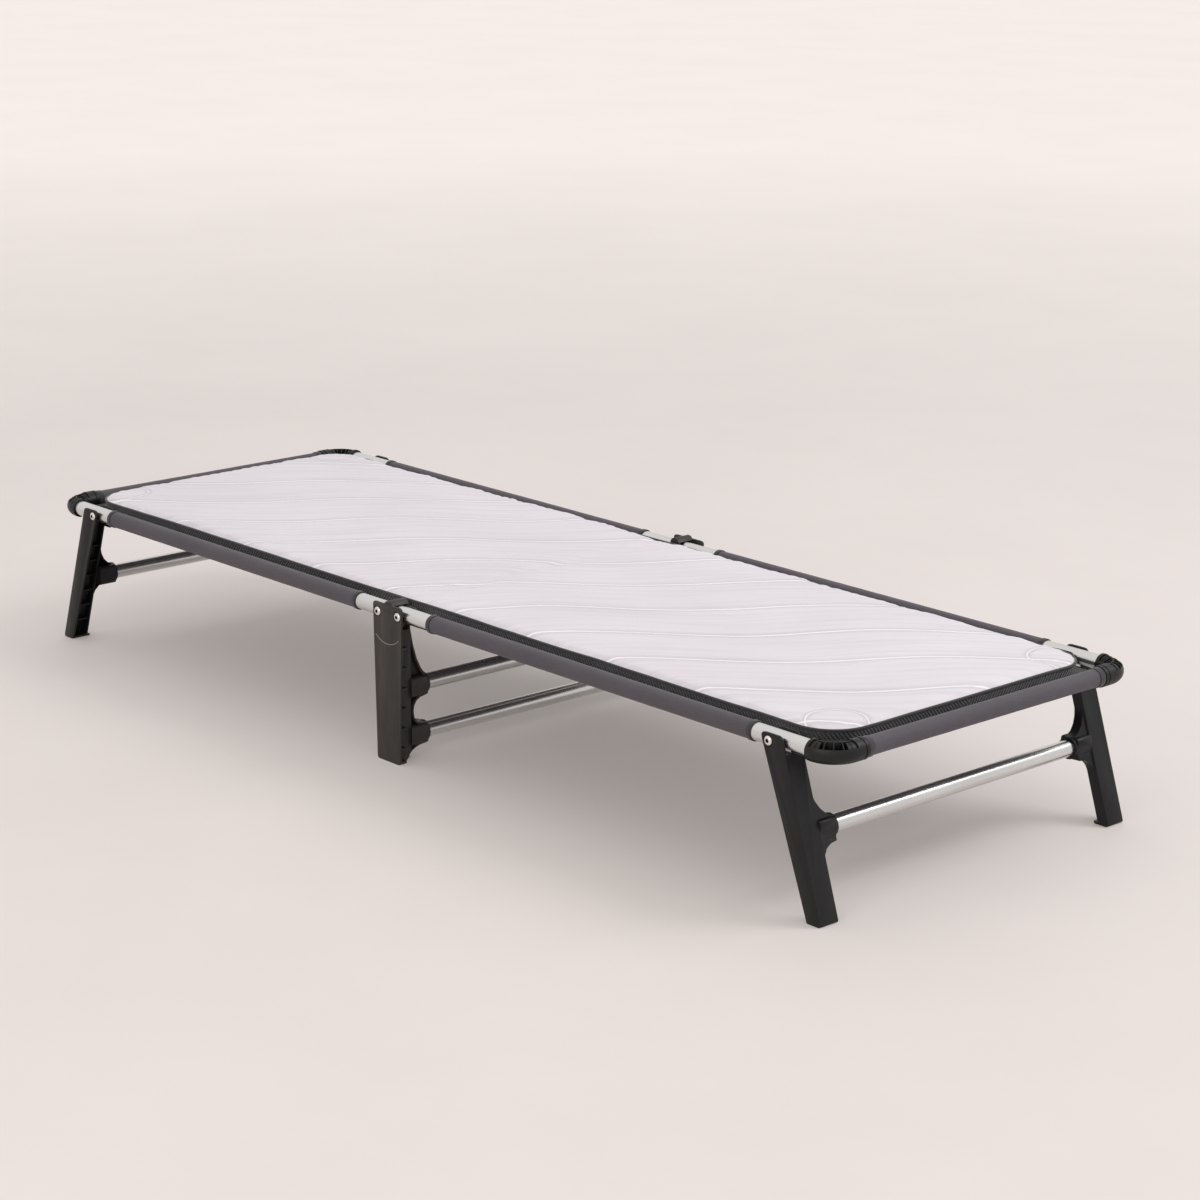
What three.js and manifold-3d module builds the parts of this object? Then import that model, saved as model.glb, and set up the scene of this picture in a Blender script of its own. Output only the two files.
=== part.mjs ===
// A folding cot: an aluminium tube frame in two halves that fold up about a centre leg,
// with a stretched cloth deck, a thin mattress and an inward-folding leg pair at each end.
// Millimetres. +X runs to the foot end, +Y to the sleeper's left, +Z up, the floor is z = 0.
import * as THREE from "three";
import Module from "manifold-3d";

const wasm = await Module();
wasm.setup();
const { Manifold, Mesh: SolidMesh } = wasm;

// ---- Sizes that drive the cot ----
const RAIL_SPAN = 594; // between the axes of the two long sides
const FRAME_LENGTH = 1820; // between the axes of the two end rails
const RAIL_HEIGHT = 234; // rail axes above the floor
const TUBE_D = 25; // outside diameter of every tube
const TUBE_WALL = 1.5;
const PIVOT_SPAN = 48; // between the two pivot bolts in a centre leg
const LEG_PIVOT_INSET = 102; // end-leg pivot, in from the end rail axis
const FOOT_INSET = 10; // centre of an end foot, in from the end rail axis
const FOOT_WIDTH = 26;
const LEG_TOP_IN = 11; // leg edges either side of the pivot, at the height of the rails
const LEG_TOP_OUT = 28;
const LEG_STRIP = 18; // width of the inboard plate below its shoulder
const LEG_BAR_HEIGHT = 115;
const CENTRE_BAR_HEIGHTS = [114, 37];
const SLEEVE_START = 86; // first cloth on a side rail, from the cot's middle
const SLEEVE_TO_LEG = 38; // last cloth on a side rail, short of the end-leg pivot
const HEM_WIDTH = 8;
const ELBOW_BEND = 34; // radius of an elbow's centre line
const ELBOW_SIDE_MOUTH = 5; // straight collar over the side rail, before the bend
const ELBOW_END_MOUTH = 20; // straight collar over the end rail
const ELBOW_SEAT = 11; // how far a tube passes the start of the bend
const MATTRESS_DEPTH = 22;
const MATTRESS_CORNER = 60;

// ---- Clearances and wall thicknesses ----
const FIT = 0.3; // between two pieces that touch
const CLOTH = 1.2;
const PLATE = 3;
const LEG_SKIN = 3.2; // outward plate of an end leg
const WEB = 2.6; // inboard plates and gussets
const RIB_HALF = 1.1; // half the thickness of a moulded rib
const LAP = 1; // how far joined solids run into each other
const PLUG_REACH = 19.5; // from a pivot to the capped end of its rail
const BOLT_R = 4;
const DECK_DROP = 6.8; // underside of the deck below the rail axes
const MATTRESS_SIDE_GAP = 29; // mattress edge, in from a side rail axis
const MATTRESS_END_GAP = 31; // mattress edge, in from an end rail axis

// ---- Sizes that follow from them ----
const tubeR = TUBE_D / 2;
const railY = RAIL_SPAN / 2;
const endX = FRAME_LENGTH / 2;
const pivotX = PIVOT_SPAN / 2;
const legX = endX - LEG_PIVOT_INSET;
const sleeveEnd = legX - SLEEVE_TO_LEG;
const sleeveR = tubeR + FIT + CLOTH;
const hemR = sleeveR + 0.5;
const elbowR = tubeR + FIT + 2.95;
const socketR = tubeR + FIT + 3.4;
const SHANK_SIDES = 8;
const holeR = (BOLT_R + FIT) / Math.cos(Math.PI / SHANK_SIDES); // flats clear a turning shank
const legGap = hemR + FIT; // rail axis to the inside of an end leg's plates
const centreGap = tubeR + FIT; // rail axis to the inside of a centre leg's inner plate
const legFace = legGap + LEG_SKIN; // rail axis to the outside of a leg
const faceY = -(railY + legFace);
const legInnerY = -(railY - legGap - WEB);
const centreInnerY = -(railY - centreGap - PLATE);
const deckZ = RAIL_HEIGHT - DECK_DROP;
const deckTop = deckZ + 1.5;
const mattressZ = deckTop + FIT;
const mattressTop = mattressZ + MATTRESS_DEPTH;
const barEnd = -legInnerY - 3.6; // half the length of every crossbar
const socketMouth = barEnd - 30;

// ---- Solids ----
function solid(geometry) {
  const g = geometry.index ? geometry.toNonIndexed() : geometry;
  const position = g.getAttribute("position");
  const seen = new Map();
  const verts = [];
  const tris = [];
  for (let i = 0; i < position.count; i++) {
    const p = [position.getX(i), position.getY(i), position.getZ(i)];
    const key = p.map((v) => Math.round(v * 1e4)).join();
    if (!seen.has(key)) {
      seen.set(key, verts.length / 3);
      verts.push(...p);
    }
    tris.push(seen.get(key));
  }
  const kept = [];
  for (let i = 0; i < tris.length; i += 3) {
    const [a, b, c] = tris.slice(i, i + 3);
    if (a !== b && b !== c && a !== c) kept.push(a, b, c);
  }
  return new Manifold(
    new SolidMesh({
      numProp: 3,
      vertProperties: new Float32Array(verts),
      triVerts: new Uint32Array(kept),
    }),
  );
}

const join = (...parts) => parts.flat().reduce((a, b) => a.add(b));
const cut = (from, ...parts) => parts.flat().reduce((a, b) => a.subtract(b), from);

function box(x0, x1, y0, y1, z0, z1) {
  const g = new THREE.BoxGeometry(x1 - x0, y1 - y0, z1 - z0);
  return solid(g.translate((x0 + x1) / 2, (y0 + y1) / 2, (z0 + z1) / 2));
}

// A round bar along an axis from a to b; u and v are its place on the other two axes.
function rod(axis, radius, a, b, u, v, sides = 16) {
  const g = new THREE.CylinderGeometry(radius, radius, Math.abs(b - a), sides);
  const middle = (a + b) / 2;
  if (axis === "x") g.rotateZ(Math.PI / 2).translate(middle, u, v);
  if (axis === "y") g.translate(u, middle, v);
  return solid(g);
}

// A flat outline pushed along y (outline in x, z) or along x (outline in y, z) or z (x, y).
function slab(axis, outline, a, b) {
  const shape = new THREE.Shape(outline.map(([p, q]) => new THREE.Vector2(p, q)));
  const g = new THREE.ExtrudeGeometry(shape, { depth: Math.abs(b - a), bevelEnabled: false });
  if (axis === "y") g.rotateX(Math.PI / 2).translate(0, Math.max(a, b), 0);
  if (axis === "x") g.rotateX(Math.PI / 2).rotateZ(Math.PI / 2).translate(Math.min(a, b), 0, 0);
  if (axis === "z") g.translate(0, 0, Math.min(a, b));
  return solid(g);
}

// An outline with each corner rounded by its own radius.
function rounded(corners, radii, steps = 3) {
  const out = [];
  corners.forEach((corner, i) => {
    const here = new THREE.Vector2(...corner);
    const back = new THREE.Vector2(...corners.at(i - 1)).sub(here);
    const on = new THREE.Vector2(...corners[(i + 1) % corners.length]).sub(here);
    const radius = Array.isArray(radii) ? radii[i] : radii;
    if (!radius) {
      out.push(corner);
      return;
    }
    const half = Math.acos(back.dot(on) / back.length() / on.length()) / 2;
    const reach = radius / Math.tan(half);
    const from = here.clone().add(back.setLength(reach));
    const to = here.clone().add(on.setLength(reach));
    for (let k = 0; k <= steps; k++) {
      const t = k / steps;
      const w = [(1 - t) ** 2, 2 * t * (1 - t), t ** 2];
      out.push([
        w[0] * from.x + w[1] * here.x + w[2] * to.x,
        w[0] * from.y + w[1] * here.y + w[2] * to.y,
      ]);
    }
  });
  return out;
}

// Points along a curve bent towards one handle point, ends included.
function curve(from, handle, to, steps = 4) {
  return Array.from({ length: steps + 1 }, (_, k) => {
    const t = k / steps;
    return [0, 1].map(
      (i) => (1 - t) ** 2 * from[i] + 2 * t * (1 - t) * handle[i] + t ** 2 * to[i],
    );
  });
}

// ---- The group and its nodes ----
const cot = new THREE.Group();
cot.name = "folding_cot";

function add(name, made, color, flipX = 1, flipY = 1) {
  const m = made.getMesh();
  const g = new THREE.BufferGeometry();
  g.setAttribute("position", new THREE.BufferAttribute(new Float32Array(m.vertProperties), 3));
  g.setIndex(new THREE.BufferAttribute(new Uint32Array(m.triVerts), 1));
  const mesh = new THREE.Mesh(g, new THREE.MeshStandardMaterial({ color }));
  mesh.name = name;
  mesh.scale.set(flipX, flipY, 1);
  cot.add(mesh);
}

// A piece made at the foot end on the right, then copied to both ends and both sides.
function addFour(name, made, color) {
  for (const [end, flipX] of [["foot", 1], ["head", -1]])
    for (const [side, flipY] of [["right", 1], ["left", -1]])
      add(`${end}_${name}_${side}`, made, color, flipX, flipY);
}

function addEnds(name, made, color) {
  add("foot_" + name, made, color);
  add("head_" + name, made, color, -1);
}

const ALUMINIUM = 0xc9c9c8;
const PLASTIC = 0x2b2a2a;
const WEAVE = 0x5b5560;
const HEM = 0x222126;
const STEEL = 0xd9d9d6;

// ---- Frame tubes ----
function sideRail() {
  const start = pivotX - PLUG_REACH + 1.5;
  const end = endX - ELBOW_BEND + ELBOW_SEAT;
  const tube = cut(
    rod("x", tubeR, start, end, -railY, RAIL_HEIGHT),
    rod("x", tubeR - TUBE_WALL, start - 1, end + 1, -railY, RAIL_HEIGHT),
  );
  const holes = [pivotX, legX].map((x) =>
    rod("y", holeR, -railY - 20, -railY + 20, x, RAIL_HEIGHT, SHANK_SIDES),
  );
  return cut(tube, holes);
}

function tubeAcross(half, x, z) {
  return cut(
    rod("y", tubeR, -half, half, x, z),
    rod("y", tubeR - TUBE_WALL, -half - 1, half + 1, x, z),
  );
}

function railPlug() {
  const cap = pivotX - PLUG_REACH;
  return join(
    rod("x", tubeR, cap, cap + 1.2, -railY, RAIL_HEIGHT),
    rod("x", tubeR - TUBE_WALL - FIT, cap + 1, cap + 9, -railY, RAIL_HEIGHT),
  );
}

// ---- Corner elbow: two mouths over the tubes and a bend with ribbed pockets on top ----
function elbow() {
  const cx = endX - ELBOW_BEND;
  const cy = -(railY - ELBOW_BEND);
  const mouthX = endX - ELBOW_BEND - ELBOW_SIDE_MOUTH;
  const mouthY = -(railY - ELBOW_BEND - ELBOW_END_MOUTH);
  const bend = solid(
    new THREE.TorusGeometry(ELBOW_BEND, elbowR, 16, 24).translate(cx, cy, RAIL_HEIGHT),
  ).intersect(box(cx, cx + 90, cy - 90, cy, RAIL_HEIGHT - 40, RAIL_HEIGHT + 40));
  const body = join(
    bend,
    rod("x", elbowR, mouthX, cx + 0.01, -railY, RAIL_HEIGHT),
    rod("y", elbowR, cy - 0.01, mouthY, endX, RAIL_HEIGHT),
  );
  return cut(
    body,
    rod("x", tubeR + FIT, mouthX - 1, cx + ELBOW_SEAT + FIT, -railY, RAIL_HEIGHT),
    rod("y", tubeR + FIT, cy - ELBOW_SEAT - FIT, mouthY + 1, endX, RAIL_HEIGHT),
    elbowPockets(cx, cy),
  );
}

function elbowPockets(cx, cy) {
  const ring = [];
  for (let k = 0; k <= 4; k++) ring.push([ELBOW_BEND + 8, -k * 10 - 25]);
  for (let k = 4; k >= 0; k--) ring.push([ELBOW_BEND - 7, -k * 10 - 25]);
  const outline = ring.map(([radius, degrees]) => {
    const a = (degrees * Math.PI) / 180;
    return [cx + radius * Math.cos(a), cy + radius * Math.sin(a)];
  });
  const pocket = slab("z", outline.reverse(), RAIL_HEIGHT + 5, RAIL_HEIGHT + elbowR + 1);
  const ribs = [38, 52].map((degrees) => {
    const g = new THREE.BoxGeometry(30, 2.2, 20);
    g.translate(ELBOW_BEND, 0, 0).rotateZ((-degrees * Math.PI) / 180);
    return solid(g.translate(cx, cy, RAIL_HEIGHT + 10));
  });
  return cut(pocket, ribs);
}

// ---- Bolts and nuts ----
const HEAD_R = 7;
const HEAD_PROUD = 2; // the head stands this far out of the face
const RECESS = 1.2; // its seat is sunk this far into the face
const NUT_R = 6.35;
const NUT_DEPTH = 4;

function bolt(x, nutY) {
  const head = rod("y", HEAD_R, faceY - HEAD_PROUD, faceY + RECESS - FIT, x, RAIL_HEIGHT);
  const shank = rod("y", BOLT_R, faceY, nutY + LAP, x, RAIL_HEIGHT, SHANK_SIDES);
  const socket = rod("y", 2.9, faceY - HEAD_PROUD - LAP, faceY - 0.2, x, RAIL_HEIGHT, 6);
  return cut(join(head, shank), socket);
}

function nut(x, seatY) {
  const seat = seatY + FIT;
  return cut(
    rod("y", NUT_R, seat, seat + NUT_DEPTH, x, RAIL_HEIGHT, 6),
    rod("y", holeR, seat - LAP, seat + NUT_DEPTH + LAP, x, RAIL_HEIGHT, SHANK_SIDES),
  );
}

function boltHole(x) {
  return [
    rod("y", holeR, faceY - LAP, -railY + 40, x, RAIL_HEIGHT, SHANK_SIDES),
    rod("y", HEAD_R + 1.5, faceY - LAP, faceY + RECESS, x, RAIL_HEIGHT),
  ];
}

// ---- A crossbar socket on the inboard side of a leg ----
function socketBox(x, z, backY) {
  const outline = rounded(
    [
      [x - socketR, z - socketR],
      [x + socketR, z - socketR],
      [x + socketR, z + socketR],
      [x - socketR, z + socketR],
    ],
    6,
  );
  const lip = -socketMouth;
  return join(
    slab("y", outline, backY, lip - 4),
    rod("y", socketR + 0.6, lip - 5, lip, x, z),
  );
}

const socketBore = (x, z) => rod("y", tubeR + FIT, -barEnd - FIT, -socketMouth + 1, x, z);

// ---- End leg: a tapering channel, closed outward, that the rail nests in when folded ----
const legTop = RAIL_HEIGHT + 11;
const footX = endX - FOOT_INSET;
const innerTop = legX - LEG_TOP_IN;
const outerTop = legX + LEG_TOP_OUT;
const innerSlope = (footX - FOOT_WIDTH / 2 - innerTop) / RAIL_HEIGHT;
const outerSlope = (footX + FOOT_WIDTH / 2 - outerTop) / RAIL_HEIGHT;
const innerEdge = (z) => innerTop + (RAIL_HEIGHT - z) * innerSlope;
const outerEdge = (z) => outerTop + (RAIL_HEIGHT - z) * outerSlope;
const legMiddle = (z) => (innerEdge(z) + outerEdge(z)) / 2;

function legOutline() {
  const corners = [
    [innerEdge(0), 0],
    [outerEdge(0), 0],
    [outerEdge(legTop), legTop],
    [innerEdge(legTop), legTop],
  ];
  return rounded(corners, [2, 4, 8, 7]);
}

// Outlines, in y and z, of the brackets above and below a crossbar socket.
function legGusset(inset) {
  const back = legInnerY - LAP;
  const top = LEG_BAR_HEIGHT + socketR;
  const low = LEG_BAR_HEIGHT - socketR;
  const lip = -socketMouth - 5;
  const seat = 6; // how far a bracket runs into the socket
  const up = curve([lip, top - inset], [back + 7, top + 8 - inset], [back, top + 36 - inset]);
  const down = curve([back, low - 24 + inset], [back + 3, low + inset], [lip, low + inset]);
  return [
    [...up, [back, top - seat], [lip, top - seat]],
    [...down, [lip, low + seat], [back, low + seat]],
  ];
}

// A strip of the leg, in x and z, that follows its outer edge between two heights.
function outerStrip(from, to, low, high) {
  return [
    [outerEdge(low) - from, low],
    [outerEdge(low) - to, low],
    [outerEdge(high) - to, high],
    [outerEdge(high) - from, high],
  ];
}

// The inboard plate is cut back below the pivot, so that it stays under the deck when folded.
function innerPlate(outline, bottom) {
  const shoulder = RAIL_HEIGHT - 24;
  const plate = slab("y", outline, legInnerY - WEB, legInnerY);
  const top = box(0, endX + 100, faceY, 0, shoulder - LAP, legTop + LAP);
  const strip = outerStrip(LEG_STRIP, LAP, bottom, shoulder);
  return join(plate.intersect(top), slab("y", strip, legInnerY - WEB, legInnerY));
}

// Brackets as wide as the strip, hollowed from the side that faces the middle of the cot.
function legGussets() {
  const leaning = (shape, from, to) => {
    const outer = outerEdge(LEG_BAR_HEIGHT);
    const made = slab("x", shape, outer - from, outer - to);
    const back = outerSlope * LEG_BAR_HEIGHT;
    return made.transform([1, 0, 0, 0, 0, 1, 0, 0, -outerSlope, 0, 1, 0, back, 0, 0, 1]);
  };
  const inboard = box(0, endX + 100, legInnerY + 0.01, 0, 0, RAIL_HEIGHT);
  const solids = legGusset(0).map((shape) => leaning(shape, LEG_STRIP, PLATE));
  const hollows = legGusset(WEB).map((shape) =>
    leaning(shape, LEG_STRIP + LAP, PLATE + WEB).intersect(inboard),
  );
  return cut(join(solids), hollows);
}

function endLeg() {
  const outline = legOutline();
  const bottom = 3;
  const underRail = RAIL_HEIGHT - tubeR - 0.6;
  const middle = legMiddle(LEG_BAR_HEIGHT);
  const insideX = [0, endX + 100];
  const insideY = [faceY + LAP, legInnerY - LAP];
  const ribs = [32, 60, 88, 116, 144, 172].map((z) =>
    box(outerEdge(z) - 15, outerEdge(z) - LAP, ...insideY, z - RIB_HALF, z + RIB_HALF),
  );
  return cut(
    join(
      slab("y", outline, faceY, faceY + LEG_SKIN),
      innerPlate(outline, bottom),
      slab("y", outerStrip(PLATE, 0, bottom, underRail), ...insideY),
      slab("y", outline, ...insideY).intersect(box(...insideX, ...insideY, 0, bottom + LAP)),
      ribs,
      legGussets(),
      socketBox(middle, LEG_BAR_HEIGHT, legInnerY - LAP),
    ),
    socketBore(middle, LEG_BAR_HEIGHT),
    boltHole(legX),
  );
}

// ---- Centre leg: face plate, ribbed core, inner block with two sockets, arch over the rails ----
const CENTRE_FOOT_HALF = 27.5; // half the width of the face plate at the floor
const BLOCK_HALF = 13; // half the thickness of the inner block
const CORE_DEPTH = 16; // ribs reach this far in from the outward face
const SPINE_HALF = 1.5;
const RIB_PITCH = 32;
const faceTop = RAIL_HEIGHT + tubeR + 2.5;
const archLow = RAIL_HEIGHT + tubeR + 0.5;
const archTop = archLow + 7;
const blockTop = RAIL_HEIGHT - PLUG_REACH - 6.5;
const faceTopHalf = pivotX + 10.5;
const faceHalf = (z) => CENTRE_FOOT_HALF + (faceTopHalf - CENTRE_FOOT_HALF) * (z / faceTop);

// The inner block seen along x, in y and z: it swells out to each socket and back between them.
function blockOutline(inset) {
  const [upper, lower] = CENTRE_BAR_HEIGHTS;
  const lip = -socketMouth - 6 - inset;
  const wall = centreInnerY - inset;
  const back = faceY + CORE_DEPTH - LAP;
  const bay = (upper + lower) / 2;
  const deep = wall + 5;
  const reach = socketR - inset;
  return [
    [back, 0],
    [faceY + 24, 0],
    [faceY + 30, 5],
    ...curve([wall - 4, 8], [wall + 6, lower - reach], [lip, lower - reach]),
    ...curve([lip, lower + reach], [deep, lower + reach + 1], [deep, bay], 4),
    ...curve([deep, bay], [deep, upper - reach - 1], [lip, upper - reach], 4).slice(1),
    ...curve([lip, upper + reach], [wall + 9, upper + reach + 20], [wall, blockTop]),
    [back, blockTop],
  ];
}

// A plate in x and z, the same on both sides of the middle, its corners rounded.
function evenPlate(lowHalf, highHalf, low, high, radii) {
  const corners = [
    [-lowHalf, low],
    [lowHalf, low],
    [highHalf, high],
    [-highHalf, high],
  ];
  return rounded(corners, radii);
}

function centreArch() {
  const foot = 10;
  const rise = curve([-foot, archLow], [3 - foot, archTop], [0, archTop], 5);
  const fall = curve([0, archTop], [foot - 3, archTop], [foot, archLow], 5).slice(1);
  return slab("y", [...rise, ...fall].reverse(), faceY + 2, centreInnerY);
}

function centreCore() {
  const core = [faceY + LAP, faceY + CORE_DEPTH];
  const margin = 4; // the core stands in from the edges of the face plate
  const floor = faceHalf(2) - margin;
  const made = [
    box(-floor, floor, ...core, 0, 4),
    box(-SPINE_HALF, SPINE_HALF, ...core, 2, blockTop),
    box(-BLOCK_HALF, BLOCK_HALF, ...core, blockTop - PLATE, blockTop),
  ];
  for (let z = 24; z < blockTop - 12; z += RIB_PITCH) {
    const half = faceHalf(z) - margin;
    made.push(box(-half, half, ...core, z - RIB_HALF, z + RIB_HALF));
  }
  return made;
}

function centreBlock() {
  const hollow = box(
    WEB - BLOCK_HALF,
    BLOCK_HALF - WEB,
    faceY + CORE_DEPTH - 2,
    centreInnerY - PLATE,
    6,
    blockTop - PLATE,
  );
  const block = cut(slab("x", blockOutline(0), -BLOCK_HALF, BLOCK_HALF), hollow);
  const bracketsOnly = box(-30, 30, centreInnerY + 0.2, 0, 10, RAIL_HEIGHT - 40);
  const pockets = [-1, 1].map((side) => {
    const [from, to] = [2.5, 20].map((x) => side * x);
    return slab("x", blockOutline(WEB), Math.min(from, to), Math.max(from, to));
  });
  return cut(block, join(pockets).intersect(bracketsOnly));
}

function centreLeg() {
  const inner = [centreInnerY - PLATE, centreInnerY];
  const lobeHalf = pivotX + 9;
  const lobeLow = RAIL_HEIGHT - 11;
  const lobe = evenPlate(lobeHalf, lobeHalf, lobeLow, RAIL_HEIGHT + 9.5, 7);
  const face = evenPlate(CENTRE_FOOT_HALF, faceTopHalf, 0, faceTop, [5, 5, 6, 6]);
  const neck = RAIL_HEIGHT - 8;
  return cut(
    join(
      slab("y", face, faceY, faceY + PLATE),
      slab("y", lobe, ...inner),
      box(-BLOCK_HALF, BLOCK_HALF, ...inner, blockTop - 4, neck),
      box(-10, 10, ...inner, neck, archLow + 0.5),
      centreArch(),
      centreCore(),
      centreBlock(),
      CENTRE_BAR_HEIGHTS.map((z) => socketBox(0, z, centreInnerY - LAP)),
    ),
    CENTRE_BAR_HEIGHTS.map((z) => socketBore(0, z)),
    boltHole(pivotX),
    boltHole(-pivotX),
  );
}

// ---- Cloth ----
function sleeve(axis, a, b, u, v, outer = sleeveR) {
  return cut(rod(axis, outer, a, b, u, v), rod(axis, tubeR + FIT, a - 1, b + 1, u, v));
}

function deck() {
  const drop = RAIL_HEIGHT - deckTop;
  const wide = railY - Math.sqrt(hemR ** 2 - drop ** 2) - 0.5;
  const end = endX - Math.sqrt(elbowR ** 2 - drop ** 2) - 0.5;
  const narrow = -legInnerY - 5.1; // clears the nuts on the leg bolts
  const half = [
    [3.5, -narrow],
    [SLEEVE_START, -narrow],
    [SLEEVE_START + 6, -wide],
    [sleeveEnd - 6, -wide],
    [sleeveEnd + 6, -narrow],
    ...curve([end - 32, -narrow], [end, -narrow], [end, -narrow + 32], 5),
  ];
  const mirrored = half.map(([x, y]) => [x, -y]).reverse();
  return slab("z", [...half, ...mirrored], deckZ, deckTop);
}

// One half of the mattress. Its inner end is round about the fold, so that the halves never cross.
function mattress() {
  const end = endX - MATTRESS_END_GAP;
  const w = railY - MATTRESS_SIDE_GAP;
  const plan = rounded(
    [
      [0, -w],
      [end, -w],
      [end, w],
      [0, w],
    ],
    [0, MATTRESS_CORNER, MATTRESS_CORNER, 0],
    7,
  );
  const reach = pivotX - 0.2;
  const low = Math.asin((mattressZ - RAIL_HEIGHT) / reach);
  const high = Math.asin((mattressTop - RAIL_HEIGHT) / reach);
  const side = [];
  for (let k = 0; k <= 5; k++) {
    const a = low + (high - low) * (k / 5);
    side.push([pivotX - reach * Math.cos(a), RAIL_HEIGHT + reach * Math.sin(a)]);
  }
  side.push([end + 1, mattressTop], [end + 1, mattressZ]);
  const body = slab("z", plan, mattressZ - 1, mattressTop + 1);
  return body.intersect(slab("y", side.reverse(), -w - 5, w + 5));
}

// ---- Put the cot together ----
addFour("side_rail", sideRail(), ALUMINIUM);
addFour("rail_plug", railPlug(), PLASTIC);
addFour("corner", elbow(), PLASTIC);
const innerHem = [SLEEVE_START, SLEEVE_START + HEM_WIDTH];
const outerHem = [sleeveEnd - HEM_WIDTH, sleeveEnd];
addFour("sleeve", sleeve("x", innerHem[1] + FIT, outerHem[0] - FIT, -railY, RAIL_HEIGHT), WEAVE);
addFour("inner_hem", sleeve("x", ...innerHem, -railY, RAIL_HEIGHT, hemR), HEM);
addFour("outer_hem", sleeve("x", ...outerHem, -railY, RAIL_HEIGHT, hemR), HEM);
addFour("leg", endLeg(), PLASTIC);
addFour("leg_bolt", bolt(legX, legInnerY + FIT + NUT_DEPTH), STEEL);
addFour("leg_nut", nut(legX, legInnerY), STEEL);

const endHalf = railY - ELBOW_BEND - ELBOW_END_MOUTH - FIT;
addEnds("end_rail", tubeAcross(railY - ELBOW_BEND + ELBOW_SEAT, endX, RAIL_HEIGHT), ALUMINIUM);
addEnds("end_sleeve", sleeve("y", -endHalf, endHalf, endX, RAIL_HEIGHT), WEAVE);
addEnds("crossbar", tubeAcross(barEnd, legMiddle(LEG_BAR_HEIGHT), LEG_BAR_HEIGHT), ALUMINIUM);
addEnds("deck", deck(), WEAVE);
addEnds("mattress", mattress(), 0xdcd8dc);

const centre = centreLeg();
add("centre_leg_right", centre, PLASTIC);
add("centre_leg_left", centre, PLASTIC, 1, -1);
["upper", "lower"].forEach((level, i) =>
  add(`centre_crossbar_${level}`, tubeAcross(barEnd, 0, CENTRE_BAR_HEIGHTS[i]), ALUMINIUM),
);
addFour("pivot_bolt", bolt(pivotX, centreInnerY + FIT + NUT_DEPTH), STEEL);
addFour("pivot_nut", nut(pivotX, centreInnerY), STEEL);

export default cot;
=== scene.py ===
# %% [markdown]
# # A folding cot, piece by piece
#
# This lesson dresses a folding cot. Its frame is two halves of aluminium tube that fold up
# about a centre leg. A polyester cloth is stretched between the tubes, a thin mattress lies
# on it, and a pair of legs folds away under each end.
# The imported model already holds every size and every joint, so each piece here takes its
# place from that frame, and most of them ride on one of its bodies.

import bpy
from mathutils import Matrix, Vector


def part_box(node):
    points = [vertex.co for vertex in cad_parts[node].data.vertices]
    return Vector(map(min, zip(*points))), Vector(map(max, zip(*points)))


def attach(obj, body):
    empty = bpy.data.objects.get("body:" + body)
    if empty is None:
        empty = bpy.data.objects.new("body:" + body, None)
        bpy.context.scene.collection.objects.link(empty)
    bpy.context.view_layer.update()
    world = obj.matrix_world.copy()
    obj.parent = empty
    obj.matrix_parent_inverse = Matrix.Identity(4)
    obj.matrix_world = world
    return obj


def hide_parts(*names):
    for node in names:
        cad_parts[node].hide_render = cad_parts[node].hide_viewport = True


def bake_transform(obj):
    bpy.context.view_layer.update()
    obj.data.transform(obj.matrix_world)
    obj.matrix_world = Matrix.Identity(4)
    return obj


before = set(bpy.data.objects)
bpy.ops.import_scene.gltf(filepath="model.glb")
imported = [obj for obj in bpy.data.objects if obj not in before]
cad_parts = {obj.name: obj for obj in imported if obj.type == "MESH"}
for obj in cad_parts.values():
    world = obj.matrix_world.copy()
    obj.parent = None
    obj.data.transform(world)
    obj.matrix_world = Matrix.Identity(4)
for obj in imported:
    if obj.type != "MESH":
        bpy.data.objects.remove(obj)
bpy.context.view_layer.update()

# %% Tools
import math

import bmesh
import bpy
from mathutils import Matrix, Vector, noise

MM = 0.001
ENDS = (("foot", 1), ("head", -1))
SIDES = (("right", -1), ("left", 1))

# %% [markdown]
# ## The camera
#
# The cot stands with its foot end to the right and near us. We look down on it by about
# fifteen degrees, from far away with a long lens, so that its long sides stay nearly parallel.

# %% Camera
camera_data = bpy.data.cameras.new("camera")
camera_data.lens = 90.17
camera_data.sensor_width = 36.0
camera = bpy.data.objects.new("camera", camera_data)
camera.location = (3.4451, -3.0040, 1.4644)
turn = Matrix.Rotation(math.radians(47.82), 4, "Z")
tip = Matrix.Rotation(math.radians(90 - 15.465), 4, "X")
roll = Matrix.Rotation(math.radians(0.4), 4, "Z")
camera.rotation_euler = (turn @ tip @ roll).to_euler()
bpy.context.scene.collection.objects.link(camera)
bpy.context.scene.camera = camera
print("camera stands", round(camera.location.length, 2), "m from the middle of the cot")

# %% [markdown]
# ## Measures from the frame
#
# A node's box gives its lowest and highest corners. From a few nodes come the radii, heights
# and stations that the pieces share, so nothing here is measured twice.

# %% Measures
def middle(node):
    low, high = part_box(node)
    return (low + high) / 2


rail_low, rail_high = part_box("foot_side_rail_right")
tube_r = (rail_high.z - rail_low.z) / 2
rail_z = (rail_high.z + rail_low.z) / 2
rail_y = -(rail_high.y + rail_low.y) / 2
end_x = middle("foot_end_rail").x
sleeve_low, sleeve_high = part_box("foot_sleeve_right")
sleeve_r = (sleeve_high.z - sleeve_low.z) / 2
face_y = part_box("centre_leg_right")[0].y
print("rail radius, height, half span:", *(round(v / MM, 1) for v in (tube_r, rail_z, rail_y)))
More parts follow.
